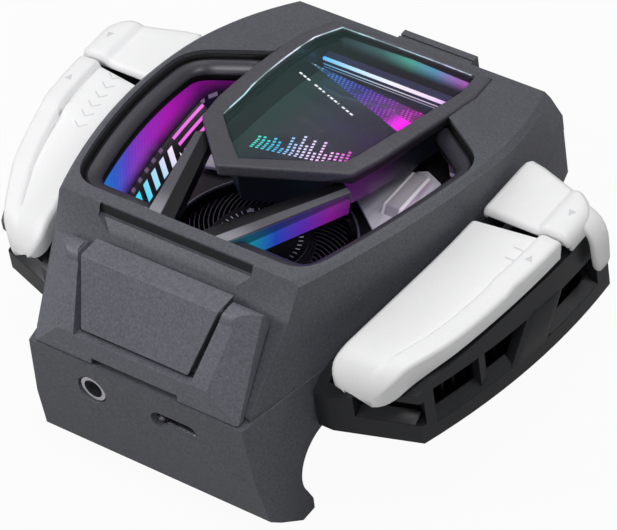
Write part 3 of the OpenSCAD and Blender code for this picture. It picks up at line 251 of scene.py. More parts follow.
def noise(shade, scale, detail=2, roughness=0.5, stretch=(1, 1, 1)):
    place = shade.add("TexCoord", output="Object")
    return shade.add("TexNoise", {}, {
        "Vector": shade.add("Mapping", {}, {"Vector": place, "Scale": stretch}),
        "Scale": scale,
        "Detail": detail,
        "Roughness": roughness,
    })


def surface(shade, inputs):
    body = shade.add("BsdfPrincipled", {}, inputs)
    shade.add("OutputMaterial", {}, {"Surface": body})


def grained(name, colour, roughness, grain=0.22, sheen=0.4, painted_shade_part=None):
    paint, shade = finish_of(name)
    fine = noise(shade, 2300, roughness=0.6)
    broad = noise(shade, 60, 3)
    tone = blended(fine * 0.8 + broad * 0.2, toned(colour, 0.3), toned(colour, 1.75))
    # A given mask turns the colour near-black there: painted shade.
    if painted_shade_part:
        tone = blended(painted_shade_part(shade) * 0.85, tone, linear(8, 8, 10))
    surface(shade, {
        "Base Color": tone,
        "Roughness": roughness - 0.06 + broad * 0.12,
        "Specular IOR Level": sheen,
        "Normal": shade.add("Bump", {}, {"Strength": grain, "Distance": 0.00004, "Height": fine}),
    })
    return paint


shell_colour = linear(82, 83, 90)
shell_paint = grained("shell_charcoal", shell_colour, 0.50, 0.45)
mould("front_jaw", 0.9, 28, 4)
dress(shell_paint, "front_jaw")

# Rubber strips glued into the notches of both jaws, moulded in soft black rubber with a
# dull skin, so that the phone's edge isn't scratched.
rubber_paint = grained("soft_rubber", linear(24, 24, 26), 0.82, 0.35, 0.2)
dress(rubber_paint, "jaw_pad", "clamp_pad")


# Sockets and plug: bent and drawn steel parts with bright nickel plating, pressed into the
# front jaw and soldered to the board behind it.
def metal(name, colour, roughness, brushed=0.0):
    paint, shade = finish_of(name)
    lines = noise(shade, 1800, stretch=(1, 1 - brushed * 0.97, 1))
    surface(shade, {
        "Base Color": blended(lines, toned(colour, 0.92), colour),
        "Metallic": 1.0,
        "Roughness": roughness - 0.05 + lines * 0.1,
        "Normal": shade.add("Bump", {}, {"Strength": 0.03, "Distance": 0.00002, "Height": lines}),
    })
    return paint


nickel_paint = metal("nickel_plate", linear(222, 222, 228), 0.24)
dress(nickel_paint, "power_socket", "audio_socket", "phone_plug")

# Lower shell and its screws: charcoal tray that closes the housing from below, held to the
# upper shell by four countersunk screws with a black oxide finish.
mould("lower_shell", 0.3)
dress(shell_paint, "lower_shell")
screw_paint = metal("black_oxide", linear(70, 70, 74), 0.42)
dress(screw_paint, "case_screws")


# Upper shell: the big charcoal moulding with the open roof, grained like the jaw, with a
# soft ridge along both sides. It is snapped and screwed to the lower shell.
def millimetres(shade, axes):
    place = shade.add("TexCoord", output="Object")
    return [shade.add("SeparateXYZ", {}, {"Vector": place}, output=axis) * 1000 for axis in axes]


def inside(value, low, high):
    return (value > low) * (value < high)


# The wall of the slot at the roof's front turns near-black: painted shade in the recess.
def painted_recess_shade(shade):
    x, y, z = millimetres(shade, "XYZ")
    return (abs(x) < 15.35) * inside(y, -29.1, -28.1) * inside(z, 45.7, 47.3)


roof_paint = grained("roof_charcoal", shell_colour, 0.50, 0.45, 0.4, painted_recess_shade)
mould("upper_shell", 1.5, 24, 5)
dress(roof_paint, "upper_shell")

# Lip inside the roof's opening: a satin charcoal ledge behind a groove, one moulding on each side,
# clipped in under the roof from above. The groove and the inner wall under the ledge are painted
# near-black: painted shade. It hides the tops of the light guides.
sides = ((-1, "left"), (1, "right"))
row_back = 43.95
row_up = 6.5
roof_y = 15.3
wide_y = 57
rear_y = 82.5
wide_x = 31.7
front_narrowing = 7.7
rear_narrowing = 5.3


def at(x, y, z):
    return Vector((x, y - row_back, z + row_up)) / 1000


def half_w(y):
    if y < wide_y:
        return wide_x - front_narrowing * ((wide_y - y) / (wide_y - roof_y)) ** 2
    return wide_x - rear_narrowing * ((y - wide_y) / (rear_y - wide_y)) ** 2


def roof_h(y):
    back = y - roof_y
    share = back / (rear_y - roof_y)
    return 41.1 - back * 0.06 - share * share * 8.668


def piece_of(name, body, points, faces, paints, marks=None, sharp=38):
    mesh = bpy.data.meshes.new(name)
    mesh.from_pydata(points, [], faces)
    for paint in paints:
        mesh.materials.append(paint)
    for i, face in enumerate(mesh.polygons):
        face.material_index = marks[i] if marks else 0
        face.use_smooth = True
    mesh.update()
    mesh.set_sharp_from_angle(angle=math.radians(sharp))
    made = bpy.data.objects.new(name, mesh)
    bpy.context.scene.collection.objects.link(made)
    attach(made, body)
    return made


def net(rings, count, first=0, closed=True, caps=True, wrapped=False):
    faces = []
    for i in range(rings if wrapped else rings - 1):
        here = first + i * count
        there = first + (i + 1) % rings * count
        for j in range(count if closed else count - 1):
            k = (j + 1) % count
            faces.append((here + j, here + k, there + k, there + j))
    if caps:
        faces.append(tuple(first + j for j in reversed(range(count))))
        faces.append(tuple(first + (rings - 1) * count + j for j in range(count)))
    return faces


def skin(name, body, rings, paints, flip=False, closed=False, caps=False, second=(), sharp=38):
    if flip:
        rings = rings[::-1]
    points = [point for ring in rings for point in ring]
    faces = net(len(rings), len(rings[0]), 0, closed, caps)
    spans = len(rings[0]) if closed else len(rings[0]) - 1
    walls = spans * (len(rings) - 1)
    marks = [1 if i < walls and i % spans in second else 0 for i in range(len(faces))]
    return piece_of(name, body, points, faces, paints, marks, sharp)


def turned(a, b, c, count):
    steps = [i / count for i in range(count + 1)]
    return [(1 - t) ** 2 * a + 2 * t * (1 - t) * b + t * t * c for t in steps]


def heading(line, i):
    before = line[max(0, i - 1)]
    after = line[min(len(line) - 1, i + 1)]
    return Vector((after[0] - before[0], after[1] - before[1])).normalized()


def opening_edge(y):
    return Vector((half_w(y) - 1.8, y))


lip_paint = grained("lip_satin", linear(50, 48, 56), 0.36, 0.12, 0.5)
painted_groove_shade = grained("groove_painted_shade", linear(10, 10, 12), 0.55, 0.1, 0.2)
opening_y = 18
corner_l = 4.6
wide_corner = opening_edge(57.3)
front_corner = opening_edge(opening_y)
close_run = Vector((17.9, 65.5)) - wide_corner
edge = [Vector((8.6, opening_y)), Vector((14, opening_y))]
edge += turned(front_corner - Vector((corner_l, 0)), front_corner, opening_edge(opening_y + corner_l), 8)
edge += [opening_edge(24.6 + 26.1 * i / 16) for i in range(17)]
edge += turned(opening_edge(wide_corner.y - corner_l), wide_corner,
               wide_corner + close_run.normalized() * corner_l, 8)
edge += [wide_corner + close_run * f for f in (0.5, 0.7, 0.94)]
lip_section = [(0.03, -0.9), (0.12, -1.9), (0.5, -2.15), (0.85, -1.9), (1.15, -1.75), (1.6, -1.85),
               (2.4, -2.25), (2.8, -2.6), (3.0, -2.95), (3.05, -3.3), (3.05, -4.1)]
for side, side_name in sides:
    lip_rings = []
    for i, point in enumerate(edge):
        run = heading(edge, i)
        lip_rings.append([
            at(side * (point.x - run.y * d), point.y + run.x * d, roof_h(point.y) + h)
            for d, h in lip_section
        ])
    lip = skin(side_name + "_roof_lip", "housing", lip_rings, [painted_groove_shade, lip_paint], flip=side < 0,
               second=range(3, 8))
    lip_wall = lip.modifiers.new("wall", "SOLIDIFY")
    lip_wall.thickness = 0.0003
    lip_wall.offset = -1

# Fold-out stand, the fixed cover between its ears and the steel pins it turns on. Both are
# moulded in the shell's plastic. The ears' outer corners slope back from the front face, so the
# solid's corners are cut along a plane.
# The stand is toned lighter than the shell's same plastic: painted light for the sheen on its faces.
lit_stand_paint = grained("stand_charcoal_painted_light", linear(93, 94, 102), 0.47, 0.45)
dress(lit_stand_paint, "kickstand", "stand_cover")
stand_mesh = solids["kickstand"].data.copy()
stand_shape = bmesh.new()
stand_shape.from_mesh(stand_mesh)
bmesh.ops.remove_doubles(stand_shape, verts=stand_shape.verts, dist=0.000004)
for side in (-1, 1):
    cut = bmesh.ops.bisect_plane(
        stand_shape,
        geom=stand_shape.verts[:] + stand_shape.edges[:] + stand_shape.faces[:],
        dist=0.000002,
        plane_co=at(side * 15.05, 0, 27.1),
        plane_no=(side * 0.415, -0.769, 0.485),
        clear_outer=True,
    )
    cut_edges = [e for e in cut["geom_cut"] if isinstance(e, bmesh.types.BMEdge)]
    bmesh.ops.edgeloop_fill(stand_shape, edges=cut_edges)
bmesh.ops.recalc_face_normals(stand_shape, faces=stand_shape.faces)
stand_shape.to_mesh(stand_mesh)
stand_shape.free()
stand_frame = bpy.data.objects.new("stand_frame", stand_mesh)
bpy.context.scene.collection.objects.link(stand_frame)
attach(stand_frame, "stand")
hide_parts("kickstand")
soften(stand_frame, 0.5, 20, 3)
mould("stand_cover", 1.2, 28, 5)
pin_paint = metal("ground_steel", linear(190, 190, 196), 0.3)
dress(pin_paint, "stand_pins")


# Visor frame: charcoal moulding with a satin face and soft edges, clipped into the roof's
# opening. Below the roof's rim it turns near-black: painted shade under the roof's edge.
def ramped(value, low, high):
    return value.add("MapRange", {"interpolation_type": "SMOOTHSTEP"}, {0: value, 1: low, 2: high})


def painted_under_shade(shade):
    y, z = millimetres(shade, "YZ")
    return ramped(roof_h(y + row_back) + row_up - z, 0.15, 0.75)


frame_paint = grained("visor_charcoal", linear(76, 75, 82), 0.44, 0.2, 0.4, painted_under_shade)
mould("visor_bezel", 0.5, 28)
dress(frame_paint, "visor_bezel")


# Struts from the roof's front to the visor: satin bars with a polished black inner half and
# pale front ends, screwed in from below. A clear light strip hangs under each outer edge.
def gradient(value, *stops):
    return value.add("ValToRGB", {"stops": [(at_share, linear(*rgb)) for at_share, *rgb in stops]}, {"Fac": value})


def lit(shade, colour, roughness, glow, strength):
    surface(shade, {
        "Base Color": colour,
        "Roughness": roughness,
        "Emission Color": glow,
        "Emission Strength": strength,
    })


strut_front = 25.95
strut_l = 22.8
strut_paint, strut_shade = finish_of("strut_satin")
strut_x, strut_y = millimetres(strut_shade, "XY")
strut_run = (strut_y + strut_front) / strut_l
strut_across = (abs(strut_x) - 2.6 - strut_run * 10.2) / (5.2 - strut_run * 2.2)
strut_outer = ramped(strut_across, 0.50, 0.56)
strut_grey = blended(noise(strut_shade, 3600), linear(70, 68, 76), linear(94, 92, 100))
strut_pale = blended(ramped(strut_y, -18.5, -25.5) * 0.8, strut_grey, linear(150, 148, 156))
surface(strut_shade, {
    "Base Color": blended(strut_outer, linear(13, 12, 17), strut_pale),
    "Roughness": 0.3 + strut_outer * 0.15,
})
for strut in ("left_strut", "right_strut"):
    mould(strut, 0.35)
    dress(strut_paint, strut)
strip_paint, strip_shade = finish_of("strip_light")
strip_y, strip_z = millimetres(strip_shade, "YZ")
strip_run = (strip_y + 26) / 24 + (noise(strip_shade, 120) - 0.5) * 0.08
strip_colours = gradient(strip_run, (0.0, 20, 90, 110), (0.16, 14, 130, 150), (0.36, 30, 60, 170),
                         (0.56, 80, 35, 160), (0.78, 120, 15, 130), (1.0, 56, 6, 62))
strip_upper = ramped(strip_z + (strip_y + strut_front) * 0.15, 44.6, 44.9)
strip_glow = blended(strip_upper * 0.72, strip_colours, linear(6, 8, 22))
lit(strip_shade, linear(30, 28, 52), 0.3, strip_glow, 1.0)
strut_low, strut_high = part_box("right_strut")
strut_t = 2.2
strip_x = 7.8
strip_out = strut_high.x * 1000 - strip_x
strip_l = strut_high.y * 1000 + 24.35
strip_fall = (strut_high.z - strut_low.z) * 1000 - strut_t
for side, side_name in sides:
    strip_rings = []
    for i in range(13):
        f = 0.01 + 0.96 * i / 12
        x = strip_x + strip_out * f
        y = opening_y + strip_l * f
        top = strut_high.z * 1000 - row_up - strip_fall * f
        low = top - strut_t
        foot = low - 3.4 + 0.9 * f
        strip_rings.append([
            at(side * (x + 0.02), y, top - 0.35), at(side * (x + 0.14), y, top - 0.5),
            at(side * (x + 0.14), y, low - 0.1), at(side * (x - 0.5), y, foot),
            at(side * (x - 1.0), y + 0.3, foot), at(side * (x - 0.6), y + 0.3, low - 0.03),
            at(side * (x + 0.02), y, low - 0.03),
        ])
    skin(side_name + "_strut_light", "housing", strip_rings, [strip_paint], flip=side < 0,
         closed=True, caps=True)

# Smoked lens: a clear plastic cover with a hard coat, glued into the visor frame. Its colour runs
# from green at the left to violet at the right: painted glow of the lit display below it. A thin
# glowing bead on its left and rear edges is a painted glint of the polished edge.
lens_paint, lens_shade = finish_of("smoked_lens")
lens_x = millimetres(lens_shade, "X")[0]
lens_haze = noise(lens_shade, 90)
surface(lens_shade, {
    "Base Color": gradient((lens_x + 16) / 32, (0.0, 70, 110, 104), (0.45, 80, 84, 88), (1.0, 70, 52, 78)),
    "Roughness": 0.03 + lens_haze * 0.05,
    "Coat Weight": 0.6,
    "Coat Roughness": 0.02,
    "Alpha": 0.13 + lens_haze * 0.05,
})
dress(lens_paint, "visor_lens")
# A thin bead along the lens's left and rear edges glows: a painted glint of the polished edge, with painted
# sparkles.
glint_paint, glint_shade = finish_of("lens_painted_glint")
glint_x = millimetres(glint_shade, "X")[0]
glint_colours = gradient((glint_x + 15) / 30, (0.0, 226, 214, 236), (0.06, 150, 205, 205),
                        (0.45, 120, 160, 164), (1.0, 170, 130, 200))
glint_spark = ramped(noise(glint_shade, 260), 0.4, 0.62)
painted_glint_glow = blended(glint_spark, linear(30, 42, 46), glint_colours)
lit(glint_shade, linear(150, 170, 176), 0.15, painted_glint_glow, 0.9)
bead_line = [(-12.35, 44.4), (-12.62, 47), (-13.0, 51), (-13.65, 54), (-14.2, 59), (-14.6, 64), (-14.85, 69),
             (-14.9, 73), (-13.4, 78.75), (-7, 78.9), (0, 78.95), (7, 78.9), (13.2, 78.75)]
bead_half_w = 0.00013
bead_half_h = Vector((0, 0, 0.00012))
bead_turns = [math.tau * k / 8 for k in range(8)]
bead_rings = []
for i, (x, y) in enumerate(bead_line):
    run = heading(bead_line, i)
    across = Vector((run.y, -run.x, 0)) * bead_half_w
    middle = at(x, y, roof_h(y) + 0.42)
    bead_rings.append([middle + across * math.cos(t) + bead_half_h * math.sin(t) for t in bead_turns])
skin("lens_edge_painted_glint", "housing", bead_rings, [glint_paint], closed=True, caps=True)

# Display tray: dark translucent walls under the lens, lit from inside. The rear wall glows
# from green through blue to pink, and the right wall carries a violet glow.
tray_paint, tray_shade = finish_of("lit_tray")
tray_x, tray_y, tray_z = millimetres(tray_shade, "XYZ")
tray_colours = gradient((tray_x + 14) / 28, (0.0, 58, 66, 78), (0.3, 74, 120, 120), (0.5, 92, 190, 172),
                        (0.68, 104, 178, 222), (0.84, 190, 130, 230), (1.0, 236, 100, 226))
tray_rear = ramped(tray_y, 34.0, 35.0) * ramped(tray_z, 30.8, 34.2)
tray_right = ramped(tray_x, 10.5, 13.0) * ramped(tray_y, 13.0, 0.0)
tray_violet = blended(tray_right * 0.6, linear(4, 5, 8), linear(84, 12, 100))
lit(tray_shade, linear(20, 22, 30), 0.3, blended(tray_rear, tray_violet, tray_colours), 0.85)
dress(tray_paint, "display_tray")

# Display panel: a board under dark glass, glued into the tray. The glass is painted from grey-green
# at the left to dusky violet at the right: painted glow of the lit tray around it.
panel_paint, panel_shade = finish_of("dark_glass_painted_glow")
panel_x = millimetres(panel_shade, "X")[0]
panel_run = (panel_x + 14) / 28 + (noise(panel_shade, 70) - 0.5) * 0.1
surface(panel_shade, {
    "Base Color": gradient(panel_run, (0.0, 60, 96, 92), (0.4, 64, 68, 84), (0.7, 56, 52, 72), (1.0, 46, 32, 60)),
    "Roughness": 0.25,
    "Coat Weight": 0.3,
})
dress(panel_paint, "display_panel")


# Display film: a clear sheet that lies on the tray's rim, printed with small lamps. A plain
# level meter stands at its front, a dashed line crosses it and a fan of dots opens at the rear.
def stroke(value, low, high, soft):
    return ramped(value, low - soft, low + soft) - ramped(value, high - soft, high + soft)


meter_columns = 18
meter_cos = 0.94
meter_sin = 0.342
dash_cos = 0.9316
dash_sin = 0.3632
film_paint, film_shade = finish_of("lamp_film")
film_x, film_y = millimetres(film_shade, "XY")
meter_u = (film_x * meter_cos + film_y * meter_sin + 5.6) / 0.92
meter_v = (film_y * meter_cos - film_x * meter_sin + 1.6) / 0.86
meter_lamp = stroke(meter_u % 1.0, 0.22, 0.78, 0.05) * stroke(meter_v % 1.0, 0.2, 0.8, 0.05)
meter_column = meter_u - meter_u % 1.0
meter_row = meter_v - meter_v % 1.0
meter_level = film_shade.add("TexWhiteNoise", {"noise_dimensions": "1D"}, {"W": meter_column + 7})
meter_tall = 2.0 + meter_level * 5.5
meter_on = inside(meter_row, -0.5, meter_tall) * inside(meter_column, -0.5, meter_columns - 0.5)
meter_mask = meter_lamp * meter_on
meter_colours = gradient(meter_u / meter_columns, (0.0, 70, 230, 195), (0.28, 50, 190, 245),
                         (0.52, 225, 220, 255), (0.78, 245, 190, 245), (1.0, 236, 40, 220))
dash_x = film_x + 12.5
dash_y = film_y - 21.05
dash_along = dash_x * dash_cos - dash_y * dash_sin
dash_off = dash_x * dash_sin + dash_y * dash_cos
dash_gaps = ((dash_along % 1.2) < 0.8) * ((dash_along % 4.4) < 3.4)
dash_mask = (abs(dash_off) < 0.19) * dash_gaps * inside(dash_along, 0, 17.0)
fan_x = film_x + 13.2
fan_y = film_y - 24.85
fan_in = inside(fan_x, 0, 25.4) * inside(fan_y, fan_x * -0.382, fan_x * -0.098)
fan_colours = gradient(fan_x / 25, (0.0, 190, 240, 255), (0.15, 70, 150, 240), (0.5, 80, 70, 215),
                       (0.76, 170, 50, 225), (1.0, 255, 10, 230))
fan_dots = stroke((film_x * 1.25 + film_y * 0.5) % 1.0, 0.2, 0.7, 0.1)
fan_rows = stroke((film_y * 1.7 - fan_x * 0.3) % 1.0, 0.25, 0.75, 0.1)
fan_bright = fan_dots * fan_rows * ramped(noise(film_shade, 420), 0.36, 0.5)
fan_corner = ramped(fan_x, 20.0, 23.5) * (fan_y < fan_x * -0.24)
fan_mask = fan_in * (0.36 + either(fan_bright, fan_corner) * 0.64)
film_lamps = blended(meter_mask, fan_colours, meter_colours)
film_glow = blended(dash_mask, film_lamps, linear(235, 240, 242))
film_mask = either(fan_mask, either(meter_mask, dash_mask))
surface(film_shade, {
    "Base Color": blended(film_mask, linear(60, 62, 70), linear(20, 20, 26)),
    "Roughness": 0.4,
    "Specular IOR Level": 0.1,
    "Alpha": 0.02 + film_mask * 0.93,
    "Emission Color": blended(film_mask, (0, 0, 0, 1), film_glow),
    "Emission Strength": 1.6,
})
clear_paint, clear_shade = finish_of("clear_film")
clear_haze = clear_shade.add("TexNoise", {}, {"Scale": 900, "Detail": 2})
surface(clear_shade, {"Base Color": linear(120, 124, 130), "Roughness": 0.3, "Alpha": 0.01 + clear_haze * 0.02})
film_t = 0.1
film_shoulder_y = 44.4
film_rings = []
for y, half in ((39.0, 6.4), (41.7, 9.2), (film_shoulder_y, 12.05), (48.2, 12.6), (53.2, 13.3), (58.2, 13.9),
                (63.3, 14.3), (68.3, 14.6), (73.3, 14.75), (78.8, 13.2)):
    z = roof_h(y) - 2.36 + 2.0 * max(0, film_shoulder_y - y) / 5.85
    film_rings.append([at(half, y, z), at(-half, y, z), at(-half, y, z - film_t), at(half, y, z - film_t)])
skin("display_film", "housing", film_rings, [clear_paint, film_paint], closed=True, caps=True, second=(0,))

# Light bar: clear acrylic bar across the rear of the display with lamps at its ends, white
# in the middle and running to cyan and pink in three fine lines.
bar_paint, bar_shade = finish_of("light_bar_acrylic")
bar_x, bar_y, bar_z = millimetres(bar_shade, "XYZ")
bar_colours = gradient((bar_x + 14) / 28, (0.0, 90, 190, 250), (0.25, 190, 235, 255), (0.5, 250, 250, 255),
                       (0.8, 250, 225, 255), (1.0, 230, 120, 245))
bar_edge = stroke(bar_z, 33.35, 34.0, 0.05) * (bar_y < 29.6)
bar_middle = stroke(bar_z, 32.35, 32.6, 0.05)
bar_low = stroke(bar_z, 31.75, 31.9, 0.05)
bar_level = either(bar_edge, either(bar_middle * 0.7, bar_low * 0.5))
lit(bar_shade, linear(40, 44, 70), 0.15, blended(bar_level, linear(22, 20, 52), bar_colours), 1.35)
dress(bar_paint, "light_bar")

# Deck and light guides inside the roof: a black moulded deck with the fan's intake, and two
# frosted acrylic walls on it that glow from blue at the front to magenta at the rear.
deck_paint = grained("deck_black", linear(20, 19, 24), 0.42, 0.15)
mould("inner_deck", 0.25)
dress(deck_paint, "inner_deck")
guide_paint, guide_shade = finish_of("frosted_guide")
guide_y, guide_z = millimetres(guide_shade, "YZ")
guide_ripple = noise(guide_shade, 160) - 0.5
guide_place = guide_shade.add("TexCoord", output="Object")
guide_rings = guide_shade.add("TexWave", {"wave_type": "RINGS", "rings_direction": "SPHERICAL"}, {
    "Vector": guide_shade.add("Mapping", {}, {"Vector": guide_place, "Location": (0.027, -0.012, -0.031)}),
    "Scale": 280,
    "Distortion": 1.2,
    "Detail": 1,
})
guide_run = (guide_y + 23) / 36 + guide_ripple * 0.14 - (guide_z - 38) * 0.012
guide_colours = gradient(guide_run, (0.0, 16, 128, 212), (0.16, 30, 96, 208), (0.32, 92, 62, 200),
                         (0.48, 146, 40, 190), (0.72, 172, 14, 176), (1.0, 116, 10, 120))
guide_soft = blended(guide_rings * 0.2, guide_colours, linear(60, 6, 80))
guide_lit = ramped(guide_z + guide_ripple * 1.5, 32.2, 36.6)
guide_dots = (((guide_y + 30) % 2.4) < 1.5) * stroke(guide_z, 31.6, 32.5, 0.15)
guide_foot = blended(guide_dots * 0.5, linear(12, 8, 20), linear(150, 130, 165))
lit(guide_shade, linear(50, 30, 64), 0.35, blended(guide_lit, guide_foot, guide_soft), 0.95)
dress(guide_paint, "left_light_guide", "right_light_guide")

# Light skirts: sloping black mouldings on the deck at the foot of each guide, with windows for
# slanting bars that turn from cyan to white, fine pink lines behind them and a row of dots.
skirt_in = 4.4
skirt_paint, skirt_shade = finish_of("lit_skirt")
skirt_x, skirt_y = millimetres(skirt_shade, "XY")
skirt_grain = noise(skirt_shade, 900)
skirt_back = (wide_y - row_back - skirt_y) / (wide_y - roof_y)
skirt_down = wide_x - skirt_in - skirt_back * skirt_back * front_narrowing - abs(skirt_x)
skirt_slant = (skirt_y + skirt_down * 0.9) % 2.9
bars_on = (skirt_slant < 1.5) * inside(skirt_y, -21.5, 0.6) * stroke(skirt_down, 1.2, 3.1, 0.06)
bars_colours = gradient((skirt_y + 21) / 21, (0.0, 0, 230, 245), (0.45, 40, 225, 250), (0.75, 190, 225, 252),
                        (1.0, 250, 232, 255))
lines_on = (((skirt_down - 0.6) % 1.1) < 0.42) * inside(skirt_y, 1.6, 11) * inside(skirt_down, 0.6, 3.6)
dots_on = ((skirt_y % 2.5) < 1.0) * stroke(skirt_down, 0.2, 0.75, 0.1) * (skirt_y < 0) * 0.25
skirt_dark = blended(dots_on, linear(8, 6, 12), linear(190, 150, 200))
skirt_bars = blended(bars_on, skirt_dark, bars_colours)
skirt_glow = blended(lines_on, skirt_bars, linear(246, 110, 236))
skirt_tone = blended(skirt_grain, linear(14, 13, 18), linear(26, 24, 31))
lit(skirt_shade, skirt_tone, 0.35 + skirt_grain * 0.1, skirt_glow, 0.95)
skirt_section = [(0.05, 22.4), (0.05, 26.2), (0.3, 26.2), (4.5, 22.8), (4.6, 22.6), (4.6, 22.4)]
for side, side_name in sides:
    skirt_rings = []
    for i in range(18):
        y = 21.5 + 33.5 * i / 17
        skirt_rings.append([at(side * (half_w(y) - skirt_in - d), y, z) for d, z in skirt_section])
    skin(side_name + "_light_skirt", "housing", skirt_rings, [skirt_paint], flip=side > 0,
         closed=True, caps=True)

# Circuit boards and switches: dark green solder mask with a faint trace pattern, and black tact
# switches soldered to it.
board_paint, board_shade = finish_of("solder_mask")
traces = board_shade.add("TexBrick", {}, {
    "Vector": board_shade.add("TexCoord", output="Object"),
    "Color1": linear(16, 30, 25),
    "Color2": linear(12, 24, 20),
    "Mortar": linear(26, 48, 40),
    "Scale": 420,
    "Mortar Size": 0.03,
})
surface(board_shade, {"Base Color": traces, "Roughness": 0.4, "Coat Weight": 0.4})
dress(board_paint, "main_board", "left_switch_board", "right_switch_board")
switch_paint = grained("switch_black", linear(30, 30, 33), 0.5)
dress(switch_paint, "left_switches", "right_switches")

# Blower: glossy black impeller with thin leaning blades on a copper-wound motor. The hub cap
# carries a printed ring of tick marks with small pointers between them.
blower_y = 33.8
hub_steps = 96
blade_count = 61
blade_steps = 7
blade_lean = math.radians(34)


def round_blower(r, turn, z):
    return at(r * math.cos(turn), blower_y + r * math.sin(turn), z)


blade_paint, blade_shade = finish_of("blade_black")
blade_z = millimetres(blade_shade, "Z")[0]
blade_grain = noise(blade_shade, 1200)
# The blades' top edges are painted lighter: a painted highlight.
painted_blade_highlight = ramped(blade_z, 28.3, 28.42) * (blade_z < 28.6)
blade_dark = blended(blade_grain, linear(17, 16, 20), linear(31, 29, 35))
surface(blade_shade, {
    "Base Color": blended(painted_blade_highlight * 0.6, blade_dark, linear(84, 81, 92)),
    "Roughness": 0.28 + blade_grain * 0.1,
})
shaft_drop = 0.3
impeller_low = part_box("impeller")[0].z * 1000 - row_up + shaft_drop
impeller_points = []
impeller_faces = []
for line in (
    [(8.2, impeller_low), (9.4, impeller_low), (9.4, 22.9), (9.25, 23.25), (8.9, 23.4), (0.9, 23.4), (0.9, 22.2),
     (8.2, 22.2)],
    [(9.2, impeller_low), (15.6, impeller_low), (15.6, impeller_low + 0.8), (9.2, impeller_low + 0.8)],
    [(0.9, impeller_low - shaft_drop), (0.9, 23.3), (0.05, 23.3), (0.05, impeller_low - shaft_drop)],
):
    impeller_faces += net(hub_steps, len(line), len(impeller_points), caps=False, wrapped=True)
    for i in range(hub_steps):
        impeller_points += [round_blower(r, -math.tau * i / hub_steps, z) for r, z in line]
for blade in range(blade_count):
    impeller_faces += net(blade_steps + 1, 4, len(impeller_points))
    for i in range(blade_steps + 1):
        f = i / blade_steps
        r = 9.3 + 6.2 * f
        turn = math.tau * blade / blade_count - blade_lean * f ** 1.25
        half_turn = (0.16 - 0.03 * f) / r
        foot = impeller_low + 0.4
        top = 21.9 - 0.5 * max(0, f - 0.86) / 0.14
        for a, z in ((-1, foot), (1, foot), (1, top), (-1, top)):
            impeller_points.append(round_blower(r, turn + a * half_turn, z))
impeller = piece_of("impeller_moulding", "fan", impeller_points, impeller_faces, [blade_paint])
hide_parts("impeller")
dress(blade_paint, "impeller")
ring_paint = grained("intake_ring_satin", linear(86, 84, 94), 0.28, 0.1, 0.7)
ring_section = [(16.42, 22.2), (16.42, 22.65), (16.52, 22.78), (16.68, 22.8), (16.82, 22.7), (16.88, 22.2)]
ring_turns = [math.tau * i / hub_steps for i in range(hub_steps + 1)]
ring_rings = [[round_blower(r, turn, z) for r, z in ring_section] for turn in ring_turns]
skin("intake_ring", "housing", ring_rings, [ring_paint])
motor_paint = metal("copper_winding", linear(190, 120, 75), 0.45)
dress(motor_paint, "fan_motor")
cap_paint, cap_shade = finish_of("hub_print")
cap_x, cap_y = millimetres(cap_shade, "XY")
cap_dy = cap_y + (row_back - blower_y)
cap_r = cap_shade.sum("SQRT", cap_x * cap_x + cap_dy * cap_dy)
cap_turn = cap_shade.sum("ARCTAN2", cap_dy, cap_x) * (180 / math.pi) + 360
ticks_on = (abs(cap_turn % 7.5 - 3.75) < 0.8) * inside(cap_r, 6.9, 7.7)
pointers_on = (abs(cap_turn % 90.0 - 45.0) < (8.1 - cap_r) * 5.0) * inside(cap_r, 7.0, 8.0)
cap_grain = noise(cap_shade, 3000)
cap_base = blended(cap_grain, linear(10, 10, 12), linear(20, 20, 23))
surface(cap_shade, {
    "Base Color": blended(either(ticks_on, pointers_on), cap_base, linear(190, 190, 198)),
    "Roughness": 0.36 + cap_grain * 0.1,
})
mould("hub_cap", 0.2, 40)
dress(cap_paint, "hub_cap")

# Cooler: soft grey pad, polished cold plate, white ceramic module, extruded aluminium heat
# sink under sprung cover plates, and copper heat pipes soldered into the fin stacks.
pad_paint = grained("thermal_pad_grey", linear(128, 128, 132), 0.85, 0.3, 0.2)
dress(pad_paint, "thermal_pad")
plate_paint = metal("milled_aluminium", linear(196, 197, 202), 0.3, 0.9)
dress(plate_paint, "cold_plate")
ceramic_paint = grained("ceramic_white", linear(226, 226, 222), 0.5)
dress(ceramic_paint, "cooling_module")
sink_paint = metal("extruded_aluminium", linear(200, 198, 206), 0.34, 0.9)
mould("heat_sink", 0.1)
dress(sink_paint, "heat_sink")
cover_paint, cover_shade = finish_of("satin_chrome_painted_reflection")
cover_x, cover_z = millimetres(cover_shade, "XZ")
cover_lines = noise(cover_shade, 2400, stretch=(1, 0.05, 1))
# The cover plates are painted pale grey with little metal, and their tab near-white: painted reflection of the
# satin chrome. A darker window is painted on the tab.
cover_tab = ramped(cover_z, 30.36, 30.44)
tab_window = stroke(abs(cover_x), 15.0, 17.6, 0.08) * cover_tab
cover_grey = blended(cover_lines, linear(196, 195, 204), linear(224, 223, 230))
painted_tab_reflection = blended(cover_tab, cover_grey, linear(250, 249, 252))
surface(cover_shade, {
    "Base Color": blended(tab_window * 0.8, painted_tab_reflection, linear(150, 144, 154)),
    "Metallic": 0.2 - cover_tab * 0.1,
    "Roughness": 0.45 - cover_tab * 0.25 + cover_lines * 0.06,
})
mould("sink_clips", 0.2)
dress(cover_paint, "sink_clips")
pipe_paint = metal("copper_tube", linear(196, 126, 84), 0.3)
dress(pipe_paint, "heat_pipes")
fin_paint = metal("black_anodised_fin", linear(74, 74, 80), 0.4, 0.6)
dress(fin_paint, "left_fins", "right_fins")


# Wings: black mouldings screwed to the housing's sides. Their vents have flared lower lips,
# and a leaning rib parts the two vents of the outer wall.
def wing_x(y):
    return 49.3 - 6.8 * ((y - wide_y) / 38.8) ** 2


